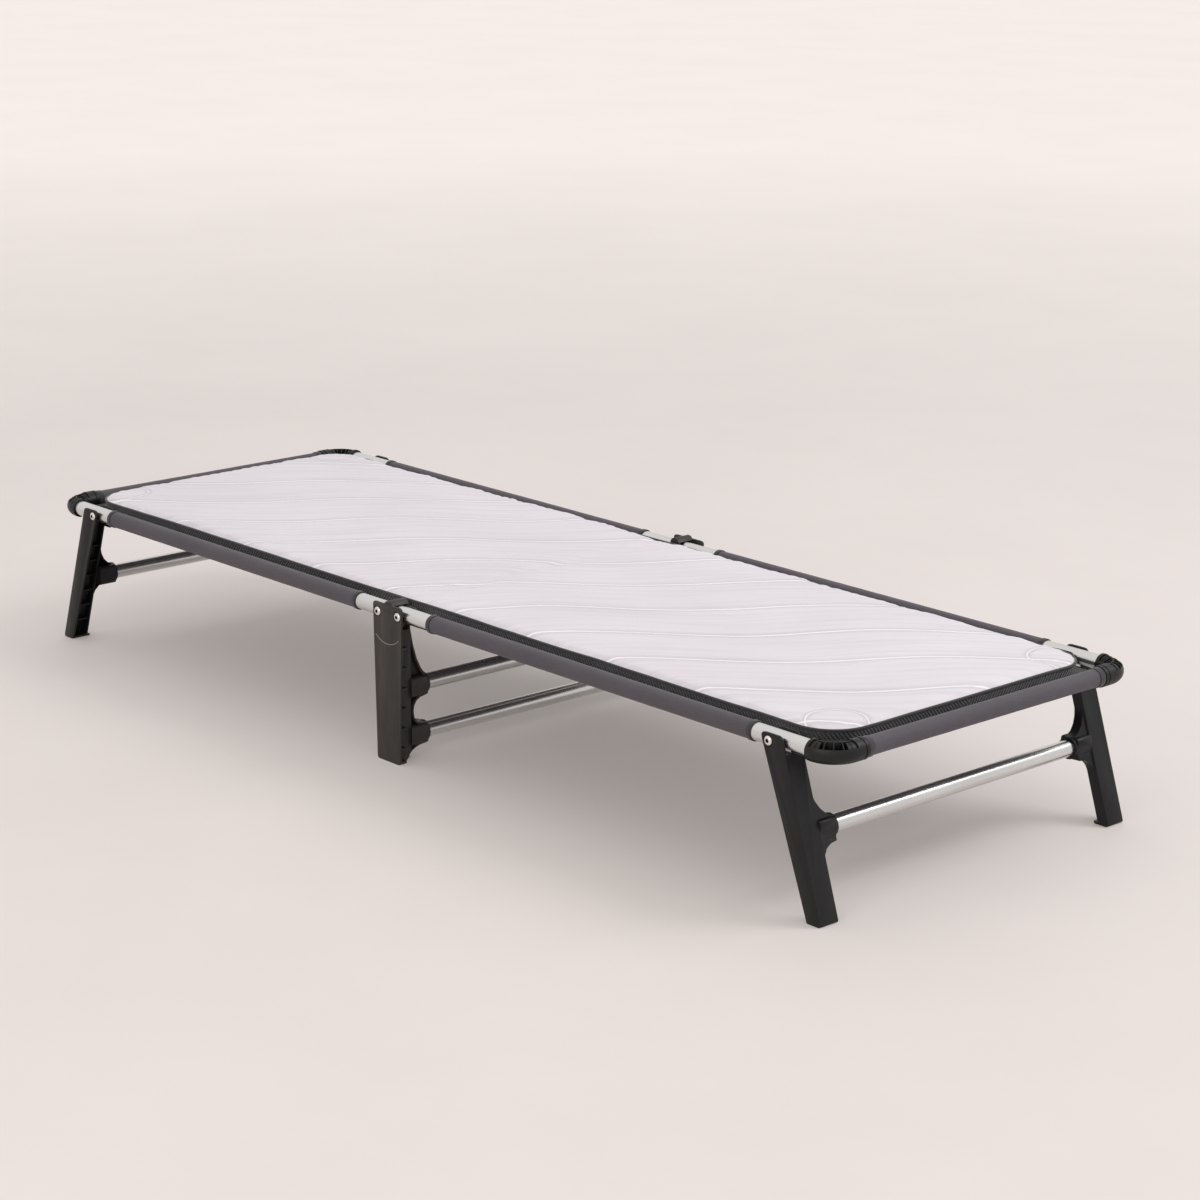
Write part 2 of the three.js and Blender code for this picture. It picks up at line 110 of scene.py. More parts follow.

# %% [markdown]
# ## Small helpers
#
# `piece` turns a bmesh into an object, gives it a finish, hangs it on the body it rides on, if
# any, and hides the plain CAD nodes it stands for. `turned` is a lathe: it spins an outline about
# an axis.

# %% Make a piece
SHARP = math.radians(38)


def piece(name, bm, finishes, body, replaces=(), smooth=True):
    mesh = bpy.data.meshes.new(name)
    bm.to_mesh(mesh)
    bm.free()
    for finish in finishes if isinstance(finishes, (list, tuple)) else [finishes]:
        mesh.materials.append(finish)
    if smooth:
        mesh.shade_smooth()
        mesh.set_sharp_from_angle(angle=SHARP)
    made = bpy.data.objects.new(name, mesh)
    bpy.context.scene.collection.objects.link(made)
    if body:
        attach(made, body)
    if replaces:
        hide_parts(*replaces)
    return made


# %% A lathe
def turned(outline, centre, axis, steps=64, into=None):
    """Spins a closed outline of (radius, distance along) about an axis through centre."""
    bm = bmesh.new()
    verts = [bm.verts.new((radius, 0, along)) for radius, along in outline]
    edges = [bm.edges.new(pair) for pair in zip(verts, verts[1:] + verts[:1])]
    bmesh.ops.spin(bm, geom=verts + edges, cent=(0, 0, 0), axis=(0, 0, 1),
                   angle=math.tau, steps=steps, use_merge=True)
    bmesh.ops.remove_doubles(bm, verts=bm.verts, dist=1e-6)
    swing = Vector((0, 0, 1)).rotation_difference(Vector(axis)).to_matrix().to_4x4()
    bmesh.ops.transform(bm, matrix=Matrix.Translation(centre) @ swing, verts=bm.verts)
    bmesh.ops.recalc_face_normals(bm, faces=bm.faces)
    return bm if into is None else joined(into, bm)


def joined(into, bm):
    """Adds one bmesh to another and returns the first."""
    scrap = bpy.data.meshes.new("scrap")
    bm.to_mesh(scrap)
    bm.free()
    into.from_mesh(scrap)
    bpy.data.meshes.remove(scrap)
    return into


def mirrored(bm, flip_x, flip_y):
    """Turns a right foot-end shape into its copy at another corner."""
    bmesh.ops.scale(bm, vec=(flip_x, flip_y, 1), verts=bm.verts)
    if flip_x * flip_y < 0:
        bmesh.ops.reverse_faces(bm, faces=bm.faces)
    return bm


# %% [markdown]
# ## Colour and nodes
#
# Colours are written as the hex values that a screen shows. Shaders work in linear light, so
# one function converts them. Another adds a node of any kind with its settings and its links,
# and hands back the output that the next node reads.

# %% Colour and node helpers
def linear(colour):
    channels = [int(colour[i : i + 2], 16) / 255 for i in (1, 3, 5)]
    return (*((c / 12.92 if c <= 0.04045 else ((c + 0.055) / 1.055) ** 2.4) for c in channels), 1)


def feed(tree, socket, value):
    """Links an output to a socket, or sets the socket to a plain value."""
    if isinstance(value, bpy.types.NodeSocket):
        tree.links.new(value, socket)
    else:
        socket.default_value = value


def add(tree, kind, inputs=(), out=0, **settings):
    """Adds a node, feeds its inputs in order or by their keys, and returns one output."""
    made = tree.nodes.new("ShaderNode" + kind)
    for key, value in settings.items():
        setattr(made, key, value)
    for key, value in inputs.items() if isinstance(inputs, dict) else enumerate(inputs):
        feed(tree, made.inputs[key], value)
    return made.outputs[out]


def blank(name):
    material = bpy.data.materials.new(name)
    material.use_nodes = True
    return material, material.node_tree


def shade(tree, **sockets):
    """Feeds the sockets of the Principled shader, each named with _ for a space."""
    for name, value in sockets.items():
        feed(tree, tree.nodes["Principled BSDF"].inputs[name.replace("_", " ")], value)


def ribs(tree, along, spacing):
    """A smooth row of ribs: a sine of a distance, with one crest to each spacing."""
    turns = add(tree, "Math", (along, math.tau / spacing), operation="MULTIPLY")
    return add(tree, "Math", (turns,), operation="SINE")


# %% [markdown]
# ## Finish: satin anodised aluminium
#
# The tubes are drawn 6063 aluminium, brushed and clear anodised. Drawing leaves fine lines
# along the tube, about half a millimetre apart, and the anodising makes the shine soft.

# %% Satin anodised aluminium
DRAWN_LINE = 0.5 * MM


def satin_anodised_aluminium(along):
    material, tree = blank(f"satin_anodised_aluminium_{along}")
    across = 1 / DRAWN_LINE
    scale = (4, across, across) if along == "x" else (across, 4, across)
    where = add(tree, "TexCoord", out="Object")
    drawn = add(tree, "Mapping", {"Vector": where, "Scale": scale})
    lines = add(tree, "TexNoise", {"Vector": drawn, "Scale": 1.0, "Detail": 2.0, "Roughness": 0.6})
    clouds = add(tree, "TexNoise", {"Vector": where, "Scale": 9.0, "Detail": 3.0})
    fine = add(tree, "Math", (lines, 0.6), operation="MULTIPLY")
    broad = add(tree, "Math", (clouds, 0.4), operation="MULTIPLY")
    tone = add(tree, "Math", (fine, broad), operation="ADD")
    colour = add(tree, "Mix", {0: tone, 6: linear("#c2c2c1"), 7: linear("#e8e8e6")}, 2,
                 data_type="RGBA")
    shade(tree, Metallic=1.0, Base_Color=colour,
          Roughness=add(tree, "MapRange", (tone, 0.3, 0.7, 0.2, 0.32)),
          Normal=add(tree, "Bump", {"Height": lines, "Distance": 0.02 * MM, "Strength": 0.5}))
    return material


aluminium = {along: satin_anodised_aluminium(along) for along in "xy"}
print("drawn lines are", DRAWN_LINE / MM, "mm apart")

# %% [markdown]
# ## Finish: moulded black nylon
#
# Legs, elbows and plugs are injection moulded in glass-filled nylon. The tool was spark
# eroded, which leaves an even grain about half a millimetre across and a satin sheen.
# The centre legs are a little warmer in tone than the end legs, and the raised line on them
# is drawn pale, as a painted highlight.

# %% Moulded black nylon
GRAIN = 0.6 * MM


def moulded_nylon(name, dark, light, roughness=0.42, gloss=0.3):
    material, tree = blank(name)
    where = add(tree, "TexCoord", out="Object")
    grain = add(tree, "TexNoise", {"Vector": where, "Scale": 1 / GRAIN, "Detail": 2.0})
    cloud = add(tree, "TexNoise", {"Vector": where, "Scale": 25.0, "Detail": 4.0})
    handled = add(tree, "Mapping", {"Vector": where, "Scale": (160, 160, 30)})
    scuff = add(tree, "TexNoise", {"Vector": handled, "Scale": 1.0, "Detail": 3.0})
    tone = add(tree, "MapRange", (cloud, 0.3, 0.7, 0.0, 1.0))
    colour = add(tree, "Mix", {0: tone, 6: linear(dark), 7: linear(light)}, 2, data_type="RGBA")
    dull = add(tree, "MapRange", (scuff, 0.35, 0.75, roughness - 0.05, roughness + 0.1))
    shade(tree, IOR=1.53, Specular_IOR_Level=gloss, Base_Color=colour, Roughness=dull,
          Normal=add(tree, "Bump", {"Height": grain, "Distance": 0.05 * MM, "Strength": 0.35}))
    return material


nylon_legs = moulded_nylon("moulded_nylon_cool_black", "#101011", "#171719", gloss=0.25)
nylon_centre = moulded_nylon("moulded_nylon_warm_black", "#1f1d1b", "#282523", 0.48, 0.45)
# Painted highlight: the raised line on the centre legs is drawn pale.
nylon_painted_highlight = moulded_nylon("moulded_nylon_painted_highlight_line", "#6f6a66", "#8a8581", 0.4)
nylon_elbows_and_socket_shade = moulded_nylon("moulded_nylon_satin_black_and_socket_shade", "#0b0b0b", "#141414", 0.44)
print("moulding grain is", GRAIN / MM, "mm across")

# %% [markdown]
# ## Finish: woven polyester
#
# The deck is a tight plain weave of grey-violet polyester yarn. Real yarns are about 0.5 mm
# apart. They are drawn 1.5 mm apart here, so that the weave shows at this distance.
# The map is the flat cloth, so the threads follow it round the tube.

# %% Woven polyester
YARN = 1.5 * MM


def woven_polyester():
    material, tree = blank("woven_polyester_grey_violet")
    flat = add(tree, "TexCoord", out="UV")
    across, along, _ = add(tree, "SeparateXYZ", (flat,)).node.outputs
    cross = add(tree, "Math", (ribs(tree, across, YARN), ribs(tree, along, YARN)),
                operation="MULTIPLY")
    drawn = add(tree, "Mapping", {"Vector": flat, "Scale": (60, 700, 1)})
    slub = add(tree, "TexNoise", {"Vector": drawn, "Scale": 1.0, "Detail": 2.0})
    where = add(tree, "TexCoord", out="Object")
    fade = add(tree, "TexNoise", {"Vector": where, "Scale": 7.0, "Detail": 4.0})
    uneven = add(tree, "Math", (add(tree, "MapRange", (slub, 0.3, 0.7, 0.0, 0.3)),
                                add(tree, "MapRange", (fade, 0.3, 0.7, 0.0, 0.35))),
                 operation="ADD")
    tone = add(tree, "Math", (add(tree, "MapRange", (cross, -1, 1, 0.0, 0.35)), uneven),
               operation="ADD")
    colour = add(tree, "Mix", {0: tone, 6: linear("#39363b"), 7: linear("#524d54")}, 2,
                 data_type="RGBA")
    shade(tree, Roughness=0.72, Sheen_Weight=0.25, Sheen_Roughness=0.5,
          Sheen_Tint=linear("#a5a0a8"), Base_Color=colour,
          Normal=add(tree, "Bump", {"Height": cross, "Distance": 0.12 * MM, "Strength": 0.6}))
    return material


polyester = woven_polyester()
print("yarns are drawn", YARN / MM, "mm apart")

# %% [markdown]
# ## Finish: black tape and spacer mesh
#
# Hems and piping are black twill tape, with a slanting rib. The mattress border is a
# three-dimensional spacer mesh: slanting ribs of yarn that stand proud. Its ribs are drawn
# pale as a painted highlight, and the rows of holes between them dark as painted shade.

# %% Black tape
TAPE_RIB = 1.6 * MM


def twill_tape():
    material, tree = blank("black_twill_tape")
    where = add(tree, "TexCoord", out="Object")
    x, y, _ = add(tree, "SeparateXYZ", (where,)).node.outputs
    rib = ribs(tree, add(tree, "Math", (x, y), operation="ADD"), TAPE_RIB)
    dust = add(tree, "TexNoise", {"Vector": where, "Scale": 240.0, "Detail": 3.0})
    tone = add(tree, "Math", (add(tree, "MapRange", (rib, -1, 1, 0.0, 0.5)),
                              add(tree, "MapRange", (dust, 0.3, 0.7, 0.0, 0.5))), operation="ADD")
    colour = add(tree, "Mix", {0: tone, 6: linear("#131315"), 7: linear("#29292c")}, 2,
                 data_type="RGBA")
    shade(tree, Roughness=0.7, Sheen_Weight=0.25, Base_Color=colour,
          Normal=add(tree, "Bump", {"Height": rib, "Distance": 0.15 * MM, "Strength": 0.6}))
    return material


hem_tape = twill_tape()
print("tape ribs are", TAPE_RIB / MM, "mm apart")

# %% Spacer mesh
MESH_PITCH = 6.0 * MM
MESH_ROW = 2.6 * MM
MESH_CLIMB = -0.8


def spacer_mesh():
    material, tree = blank("black_spacer_mesh")
    flat = add(tree, "TexCoord", out="UV")
    along, up, _ = add(tree, "SeparateXYZ", (flat,)).node.outputs
    where = add(tree, "TexCoord", out="Object")
    wander = add(tree, "TexNoise", {"Vector": where, "Scale": 60.0})
    level = add(tree, "Math", (along, math.tau / MESH_PITCH), operation="MULTIPLY")
    climb = add(tree, "Math", (up, MESH_CLIMB * math.tau / MESH_PITCH), operation="MULTIPLY")
    slant = add(tree, "Math", (level, climb), operation="ADD")
    drift = add(tree, "Math", (wander, 2.5), operation="MULTIPLY")
    uneven = add(tree, "Math", (slant, drift), operation="ADD")
    rib = add(tree, "Math", (uneven,), operation="SINE")
    # Painted light: the ribs are drawn pale as a painted highlight and the rows of holes dark as
    # painted shade; patchy is random tone.
    holes = ribs(tree, up, MESH_ROW)
    cells = add(tree, "Math", (add(tree, "MapRange", (rib, -1, 1, 0, 1)),
                               add(tree, "MapRange", (holes, -1, 1, 0.55, 1))),
                operation="MULTIPLY")
    patchy = add(tree, "MapRange", (wander, 0.3, 0.7, 0.5, 1.0))
    tone = add(tree, "Math", (cells, patchy), operation="MULTIPLY")
    colour = add(tree, "Mix", {0: tone, 6: linear("#0b0b0c"), 7: linear("#4c4c51")}, 2,
                 data_type="RGBA")
    shade(tree, Roughness=0.62, Sheen_Weight=0.3, Base_Color=colour,
          Normal=add(tree, "Bump", {"Height": cells, "Distance": 1.2 * MM, "Strength": 0.9}))
    return material


border_mesh = spacer_mesh()
print("mesh ribs are", round(MESH_PITCH / MM, 1), "mm apart")

# %% [markdown]
# ## Quilting lines
#
# The mattress cover is quilted in long waves that cross it at a slant, 180 mm apart along its
# length. One formula gives the distance of any point from its nearest line. The shape uses it
# for the soft swell between lines, and the finish works it out again in nodes for the fine
# raised cord that the stitches make. The finish adds a plain ring near each corner.

# %% Quilting measures
WAVE_SPACING = 180 * MM
WAVE_LEAN = 0.83
WAVE_START = 135 * MM
WAVE_SWING = 17 * MM
WAVE_LENGTH = 430 * MM
WAVE_TILT = 0.3
WAVE_BREADTH = 0.6
RING_PLACE = (848 * MM, 226 * MM)
RING_R = 43 * MM
print("waves are", round(WAVE_SPACING / math.hypot(1, WAVE_LEAN) / MM), "mm apart, square to them")


def from_wave(x, y):
    """How far a point is from its nearest quilting line, measured across the lines."""
    swing = WAVE_SWING * math.sin(math.tau * (y + WAVE_TILT * x) / WAVE_LENGTH)
    turns = (x - WAVE_LEAN * y - swing - WAVE_START) / WAVE_SPACING
    return abs(turns - round(turns)) * WAVE_SPACING / math.hypot(1, WAVE_LEAN)


# %% The same lines in nodes
def wave_phase(tree, x, y):
    """How far along the length a point is from the first wave, before its start is taken off."""
    tilted = add(tree, "Math", (x, WAVE_TILT, y), operation="MULTIPLY_ADD")
    swing = add(tree, "Math", (ribs(tree, tilted, WAVE_LENGTH), WAVE_SWING), operation="MULTIPLY")
    lean = add(tree, "Math", (y, WAVE_LEAN), operation="MULTIPLY")
    upright = add(tree, "Math", (x, lean), operation="SUBTRACT")
    return add(tree, "Math", (upright, swing), operation="SUBTRACT")


def from_line(tree, x, y, phase):
    """How far a point is from its nearest wave or corner ring."""
    shifted = add(tree, "Math", (phase, WAVE_START), operation="SUBTRACT")
    apart = add(tree, "Math", (shifted, WAVE_SPACING / 2), operation="PINGPONG")
    off_wave = add(tree, "Math", (apart, WAVE_BREADTH), operation="MULTIPLY")
    corner = [add(tree, "Math", (way,), operation="ABSOLUTE") for way in (x, y)]
    to_ring = add(tree, "VectorMath", (add(tree, "CombineXYZ", corner), (*RING_PLACE, 0)), "Value",
                  operation="DISTANCE")
    past_ring = add(tree, "Math", (to_ring, RING_R), operation="SUBTRACT")
    off_ring = add(tree, "Math", (past_ring,), operation="ABSOLUTE")
    narrowed = add(tree, "Math", (off_ring, 1.3), operation="MULTIPLY")
    return add(tree, "Math", (off_wave, narrowed), operation="MINIMUM")


# %% [markdown]
# ## Finish: knitted mattress cover
#
# The cover is a pale lilac-grey double knit with a soft sheen. Its stitches are far too fine
# to see, so they are drawn 1.8 mm apart, which breaks up the light. Each wave shows as a fine
# bright line between two sunk bands: the line is a painted highlight in near white, and the
# bands are darkened with painted shade. Faint streaks of painted shade run along the waves.

# %% Colour of the knit
KNIT = 1.8 * MM
CORD_HALF = 3.2 * MM
VALLEY = 10 * MM
STREAK = 16 * MM


def knit_colour(tree, where, y, phase, knit):
    """A pale ground with soft clouds, its stitches, and faint streaks of painted fold shade along
    the waves.
    """
    cloud = add(tree, "TexNoise", {"Vector": where, "Scale": 5.0, "Detail": 5.0})
    tone = add(tree, "Math", (add(tree, "MapRange", (cloud, 0.3, 0.7, 0.0, 0.6)),
                              add(tree, "MapRange", (knit, -1, 1, 0.0, 0.4))), operation="ADD")
    # Painted shade: streaks along the waves darken the knit and stand in for the shading of slack
    # folds.
    across = add(tree, "Math", (phase, 1 / STREAK), operation="MULTIPLY")
    slow = add(tree, "Math", (y, 5.0), operation="MULTIPLY")
    streak = add(tree, "TexNoise", {"Vector": add(tree, "CombineXYZ", (across, slow)),
                                    "Scale": 1.0, "Detail": 3.0})
    painted_fold_shade = add(tree, "MapRange", (streak, 0.45, 0.75, 0.0, 0.5))
    plain = add(tree, "Mix", {0: tone, 6: linear("#cdc9ce"), 7: linear("#d8d4da")}, 2,
                data_type="RGBA")
    return add(tree, "Mix", {0: painted_fold_shade, 6: plain, 7: linear("#bdb8c0")}, 2, data_type="RGBA")


# %% Knitted cover
def knitted_cover():
    material, tree = blank("knitted_cover_pale_lilac")
    where = add(tree, "TexCoord", out="Object")
    x, y, _ = add(tree, "SeparateXYZ", (where,)).node.outputs
    knit = add(tree, "Math", (ribs(tree, y, KNIT), ribs(tree, x, KNIT)), operation="MULTIPLY")
    phase = wave_phase(tree, x, y)
    nearest = from_line(tree, x, y, phase)
    cord = add(tree, "MapRange", (nearest, 0.0, CORD_HALF, 1.0, 0.0))
    valley = add(tree, "MapRange", (nearest, CORD_HALF, VALLEY, 0.0, 1.0))
    # Painted shade: the knit darkens beside each wave line.
    shaded = add(tree, "MapRange", (valley, 0, 1, 0.35, 0.0))
    sunk = add(tree, "Mix", {0: shaded, 6: knit_colour(tree, where, y, phase, knit),
                             7: linear("#aba5ad")}, 2, data_type="RGBA")
    # Painted highlight: the cord along each wave is drawn near white.
    painted_cord_highlight = add(tree, "MapRange", (cord, 0, 1, 0.0, 0.75))
    colour = add(tree, "Mix", {0: painted_cord_highlight, 6: sunk, 7: linear("#ffffff")}, 2, data_type="RGBA")
    fine = add(tree, "Bump", {"Height": knit, "Distance": 0.08 * MM, "Strength": 0.5})
    raised = add(tree, "Math", (cord, valley), operation="ADD")
    seam = add(tree, "Bump", {"Height": raised, "Distance": 1.4 * MM, "Strength": 1.0,
                              "Normal": fine})
    shade(tree, Roughness=0.66, Sheen_Weight=0.25, Sheen_Roughness=0.4, Base_Color=colour,
          Normal=seam)
    return material


cover_knit = knitted_cover()
print("stitches are drawn", KNIT / MM, "mm apart")

# %% [markdown]
# ## Finish: bright zinc plating
#
# Bolts and nuts are steel with a bright zinc plate: a mirror-like metal with a faint haze.

# %% Zinc-plated steel
def zinc_plated_steel():
    material, tree = blank("zinc_plated_steel")
    where = add(tree, "TexCoord", out="Object")
    haze = add(tree, "TexNoise", {"Vector": where, "Scale": 450.0, "Detail": 3.0})
    colour = add(tree, "Mix", {0: haze, 6: linear("#cfcdc8"), 7: linear("#efeeea")}, 2,
                 data_type="RGBA")
    shade(tree, Metallic=1.0, Base_Color=colour,
          Roughness=add(tree, "MapRange", (haze, 0.3, 0.7, 0.16, 0.3)))
    return material


zinc = zinc_plated_steel()

# %% [markdown]
# ## Aluminium tubes
#
# A tube is a ring spun from the section of its wall. The cut ends are lightly chamfered.

# %% Tubes
WALL = 1.5 * MM
CHAMFER = 0.3 * MM


def tube_wall(length):
    half = length / 2
    inner = tube_r - WALL
    return [(inner, -half), (tube_r - CHAMFER, -half), (tube_r, -half + CHAMFER),
            (tube_r, half - CHAMFER), (tube_r - CHAMFER, half), (inner, half)]


def tube(node, body):
    low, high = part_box(node)
    size = high - low
    along = "x" if size.x > size.y else "y"
    axis = (1, 0, 0) if along == "x" else (0, 1, 0)
    bm = turned(tube_wall(max(size.x, size.y)), (low + high) / 2, axis)
    piece(node + "_tube", bm, aluminium[along], body, [node])


for end, _ in ENDS:
    for side, _ in SIDES:
        tube(f"{end}_side_rail_{side}", f"{end}_half")
    tube(f"{end}_end_rail", f"{end}_half")
    tube(f"{end}_crossbar", f"{end}_legs")
for level in ("upper", "lower"):
    tube(f"centre_crossbar_{level}", "centre")
print("tubes are", round(tube_r / MM * 2, 1), "mm across")

# %% [markdown]
# ## Cloth sleeves
#
# Each side of the deck cloth is sewn into a sleeve that a tube slides through. It is made as
# the cloth is cut: a flat strip, given its map while it is flat, then rolled round the tube.
# A little slack shows as shallow puckers that run along the seam.

# %% Roll a strip into a sleeve
SLACK = 0.35 * MM
CLOTH_R = sleeve_r - SLACK


def strip(length, girth, cells_along, cells_round):
    """A flat strip on the ground plane, mapped in metres, centred on the origin."""
    bm = bmesh.new()
    bmesh.ops.create_grid(bm, x_segments=cells_along, y_segments=cells_round, size=0.5)
    bmesh.ops.scale(bm, vec=(length, girth, 1), verts=bm.verts)
    flat_map = bm.loops.layers.uv.new("cloth")
    for face in bm.faces:
        for loop in face.loops:
            loop[flat_map].uv = loop.vert.co.xy
    return bm


def rolled(bm, along, centre, seam_turn):
    """Rolls a flat strip about its long axis, and lays it along x or y."""
    for vert in bm.verts:
        angle = vert.co.y / CLOTH_R + seam_turn
        pucker = noise.noise(Vector((vert.co.x * 55, math.cos(angle) * 1.5, math.sin(angle) * 1.5)))
        near_seam = math.exp(-((abs(vert.co.y) / CLOTH_R - math.pi) / 0.7) ** 2)
        reach = CLOTH_R - SLACK + (0.12 + 0.35 * near_seam) * MM * pucker
        vert.co = Vector((vert.co.x, reach * math.cos(angle), reach * math.sin(angle)))
    if along == "y":
        bmesh.ops.rotate(bm, cent=(0, 0, 0), matrix=Matrix.Rotation(math.pi / 2, 3, "Z"),
                         verts=bm.verts)
    bmesh.ops.translate(bm, vec=centre, verts=bm.verts)
    return bm


# %% Sleeves on the side tubes and the end tubes
def sleeve(node, body, along, seam_turn, trim=0.0):
    low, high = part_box(node)
    size = high - low
    length = max(size.x, size.y) - 2 * trim
    girth = math.tau * CLOTH_R
    flat_strip = strip(length, girth, round(length / (5 * MM)), 48)
    bm = rolled(flat_strip, along, (low + high) / 2, seam_turn)
    made = piece(node + "_cloth", bm, polyester, body, [node])
    return girth, length


END_HEM = 11 * MM
for end, _ in ENDS:
    for side, flip_y in SIDES:
        seam = 0.0 if flip_y > 0 else math.pi
        girth, length = sleeve(f"{end}_sleeve_{side}", f"{end}_half", "x", seam)
    end_girth, end_length = sleeve(f"{end}_end_sleeve", f"{end}_half", "y", 0.0, END_HEM)
print("side sleeve is cut", round(girth / MM), "x", round(length / MM), "mm")
print("end sleeve is cut", round(end_girth / MM), "x", round(end_length / MM), "mm")

# %% [markdown]
# ## Hem rings
#
# Black tape binds each end of a sleeve. It is a soft ring, rounded at both edges. The end
# sleeve and its two rings are one node in the frame, and the rings take its outer widths.

# %% Hems
def hem_outline(width, outer):
    half = width / 2
    inner = tube_r + 0.1 * MM
    soft = 1.0 * MM
    rim = [(outer - soft + soft * math.sin(a), half - soft + soft * math.cos(a))
           for a in (math.radians(d) for d in range(0, 91, 18))]
    back = [(radius, -along) for radius, along in reversed(rim)]
    return [(inner, half), *rim, *back, (inner, -half)]


def hem(name, centre, along, width, outer, replaces):
    axis = (1, 0, 0) if along == "x" else (0, 1, 0)
    body = name.split("_")[0] + "_half"
    return piece(name, turned(hem_outline(width, outer), centre, axis), hem_tape, body, replaces)


hem_low, hem_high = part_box("foot_inner_hem_right")
hem_r = (hem_high.z - hem_low.z) / 2
for end, _ in ENDS:
    for side, flip_y in SIDES:
        for place in ("inner_hem", "outer_hem"):
            node = f"{end}_{place}_{side}"
            low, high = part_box(node)
            hem(node + "_tape", (low + high) / 2, "x", high.x - low.x, hem_r, [node])
        centre = middle(f"{end}_end_sleeve")
        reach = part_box(f"{end}_end_sleeve")[1].y
        centre.y = flip_y * (reach - END_HEM / 2)
        hem(f"{end}_end_hem_{side}", centre, "y", END_HEM, hem_r, [f"{end}_end_sleeve"])
print("hems are", round((hem_high.x - hem_low.x) / MM, 1), "mm wide")

# %% [markdown]
# ## Corner elbows
#
# Each corner is one nylon moulding: a quarter bend between two mouths. Its outer band is
# smooth. The top is cored out, as thick mouldings are, and thin ribs cross the hollow.
# The shell is a C-shaped section spun through a quarter turn. A floor, a spine, ribs and
# collars are added, and a solid round at each end of the bend hides the end of its tube.

# %% Elbow measures
elbow_low, elbow_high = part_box("foot_corner_right")
elbow_r = (elbow_high.z - elbow_low.z) / 2
BEND = 34 * MM
SHELL = 2.2 * MM
OPEN_FROM = math.radians(30)
OPEN_TO = math.radians(146)
RIB = 1.5 * MM
RIB_DROP = 1.3 * MM
RIB_TURNS = (11, 28, 45, 62, 79)
FLOOR_HALF = 13 * MM
SPINE_DROP = 0.9 * MM
SOLID_END = math.radians(20)
OVERLAP = 0.6 * MM
GROOVE = 5.5 * MM
mouth_x = elbow_low.x
mouth_y = elbow_high.y
print("elbow is", round(elbow_r / MM * 2, 1), "mm across")


# %% Elbow shell
def swept(outline, start=0.0, stop=math.pi / 2):
    """Spins a closed (radius, height) outline from one turn to another, and caps it."""
    bm = bmesh.new()
    verts = [bm.verts.new((0, -radius, height)) for radius, height in outline]
    edges = [bm.edges.new(pair) for pair in zip(verts, verts[1:] + verts[:1])]
    bmesh.ops.rotate(bm, cent=(0, 0, 0), matrix=Matrix.Rotation(start, 3, "Z"), verts=verts)
    bmesh.ops.spin(bm, geom=verts + edges, cent=(0, 0, 0), axis=(0, 0, 1),
                   angle=stop - start, steps=round(22 * (stop - start) / (math.pi / 2)))
    bmesh.ops.holes_fill(bm, edges=[edge for edge in bm.edges if edge.is_boundary])
    bmesh.ops.recalc_face_normals(bm, faces=bm.faces)
    return bm


def arc(radius, start, stop, steps):
    """Points of an arc about the bend's centre line, as (distance from the bend axis, height)."""
    angles = [start + (stop - start) * k / steps for k in range(steps + 1)]
    return [(BEND + radius * math.cos(a), radius * math.sin(a)) for a in angles]


def elbow_shell():
    around = OPEN_FROM + math.tau
    outside = arc(elbow_r, OPEN_TO, around, 36)
    lip = arc(elbow_r - SHELL / 2, around + 0.02, around + 0.02, 1)[:1]
    inside = arc(elbow_r - SHELL, around - 0.04, OPEN_TO + 0.04, 36)
    return swept(outside + lip + inside)


def bar_of(inner, outer, low, high):
    """A flat bar that follows the bend, between two radii and two heights."""
    return swept([(inner, low), (outer, low), (outer, high), (inner, high)])


# %% Elbow ribs and collars
def fin(angle):
    """A thin rib across the hollow, standing at an angle round the bend."""
    bm = bmesh.new()
    reach = elbow_r - RIB_DROP
    rim = arc(reach, math.radians(8), math.radians(172), 16)
    face = bm.faces.new([bm.verts.new((0, -radius, height)) for radius, height in rim])
    grown = bmesh.ops.extrude_face_region(bm, geom=[face])["geom"]
    verts = [part for part in grown if isinstance(part, bmesh.types.BMVert)]
    bmesh.ops.translate(bm, vec=(RIB, 0, 0), verts=verts)
    bmesh.ops.translate(bm, vec=(-RIB / 2, 0, 0), verts=bm.verts)
    bmesh.ops.rotate(bm, cent=(0, 0, 0), matrix=Matrix.Rotation(angle, 3, "Z"), verts=bm.verts)
    bmesh.ops.holes_fill(bm, edges=[edge for edge in bm.edges if edge.is_boundary])
    bmesh.ops.recalc_face_normals(bm, faces=bm.faces)
    return bm


def collar_outline(length, groove):
    """A collar's section, with a groove cut this far from its mouth, or none at 0."""
    inner = tube_r + 0.3 * MM
    soft = 0.8 * MM
    lip = [(elbow_r - soft, 0), (elbow_r, soft)]
    neck = [(elbow_r, groove), (elbow_r - 1.1 * MM, groove + 0.6 * MM),
            (elbow_r - 1.1 * MM, groove + 2.4 * MM), (elbow_r, groove + 3.0 * MM)]
    return [(inner, 0), *lip, *(neck if groove else []), (elbow_r, length), (inner, length)]


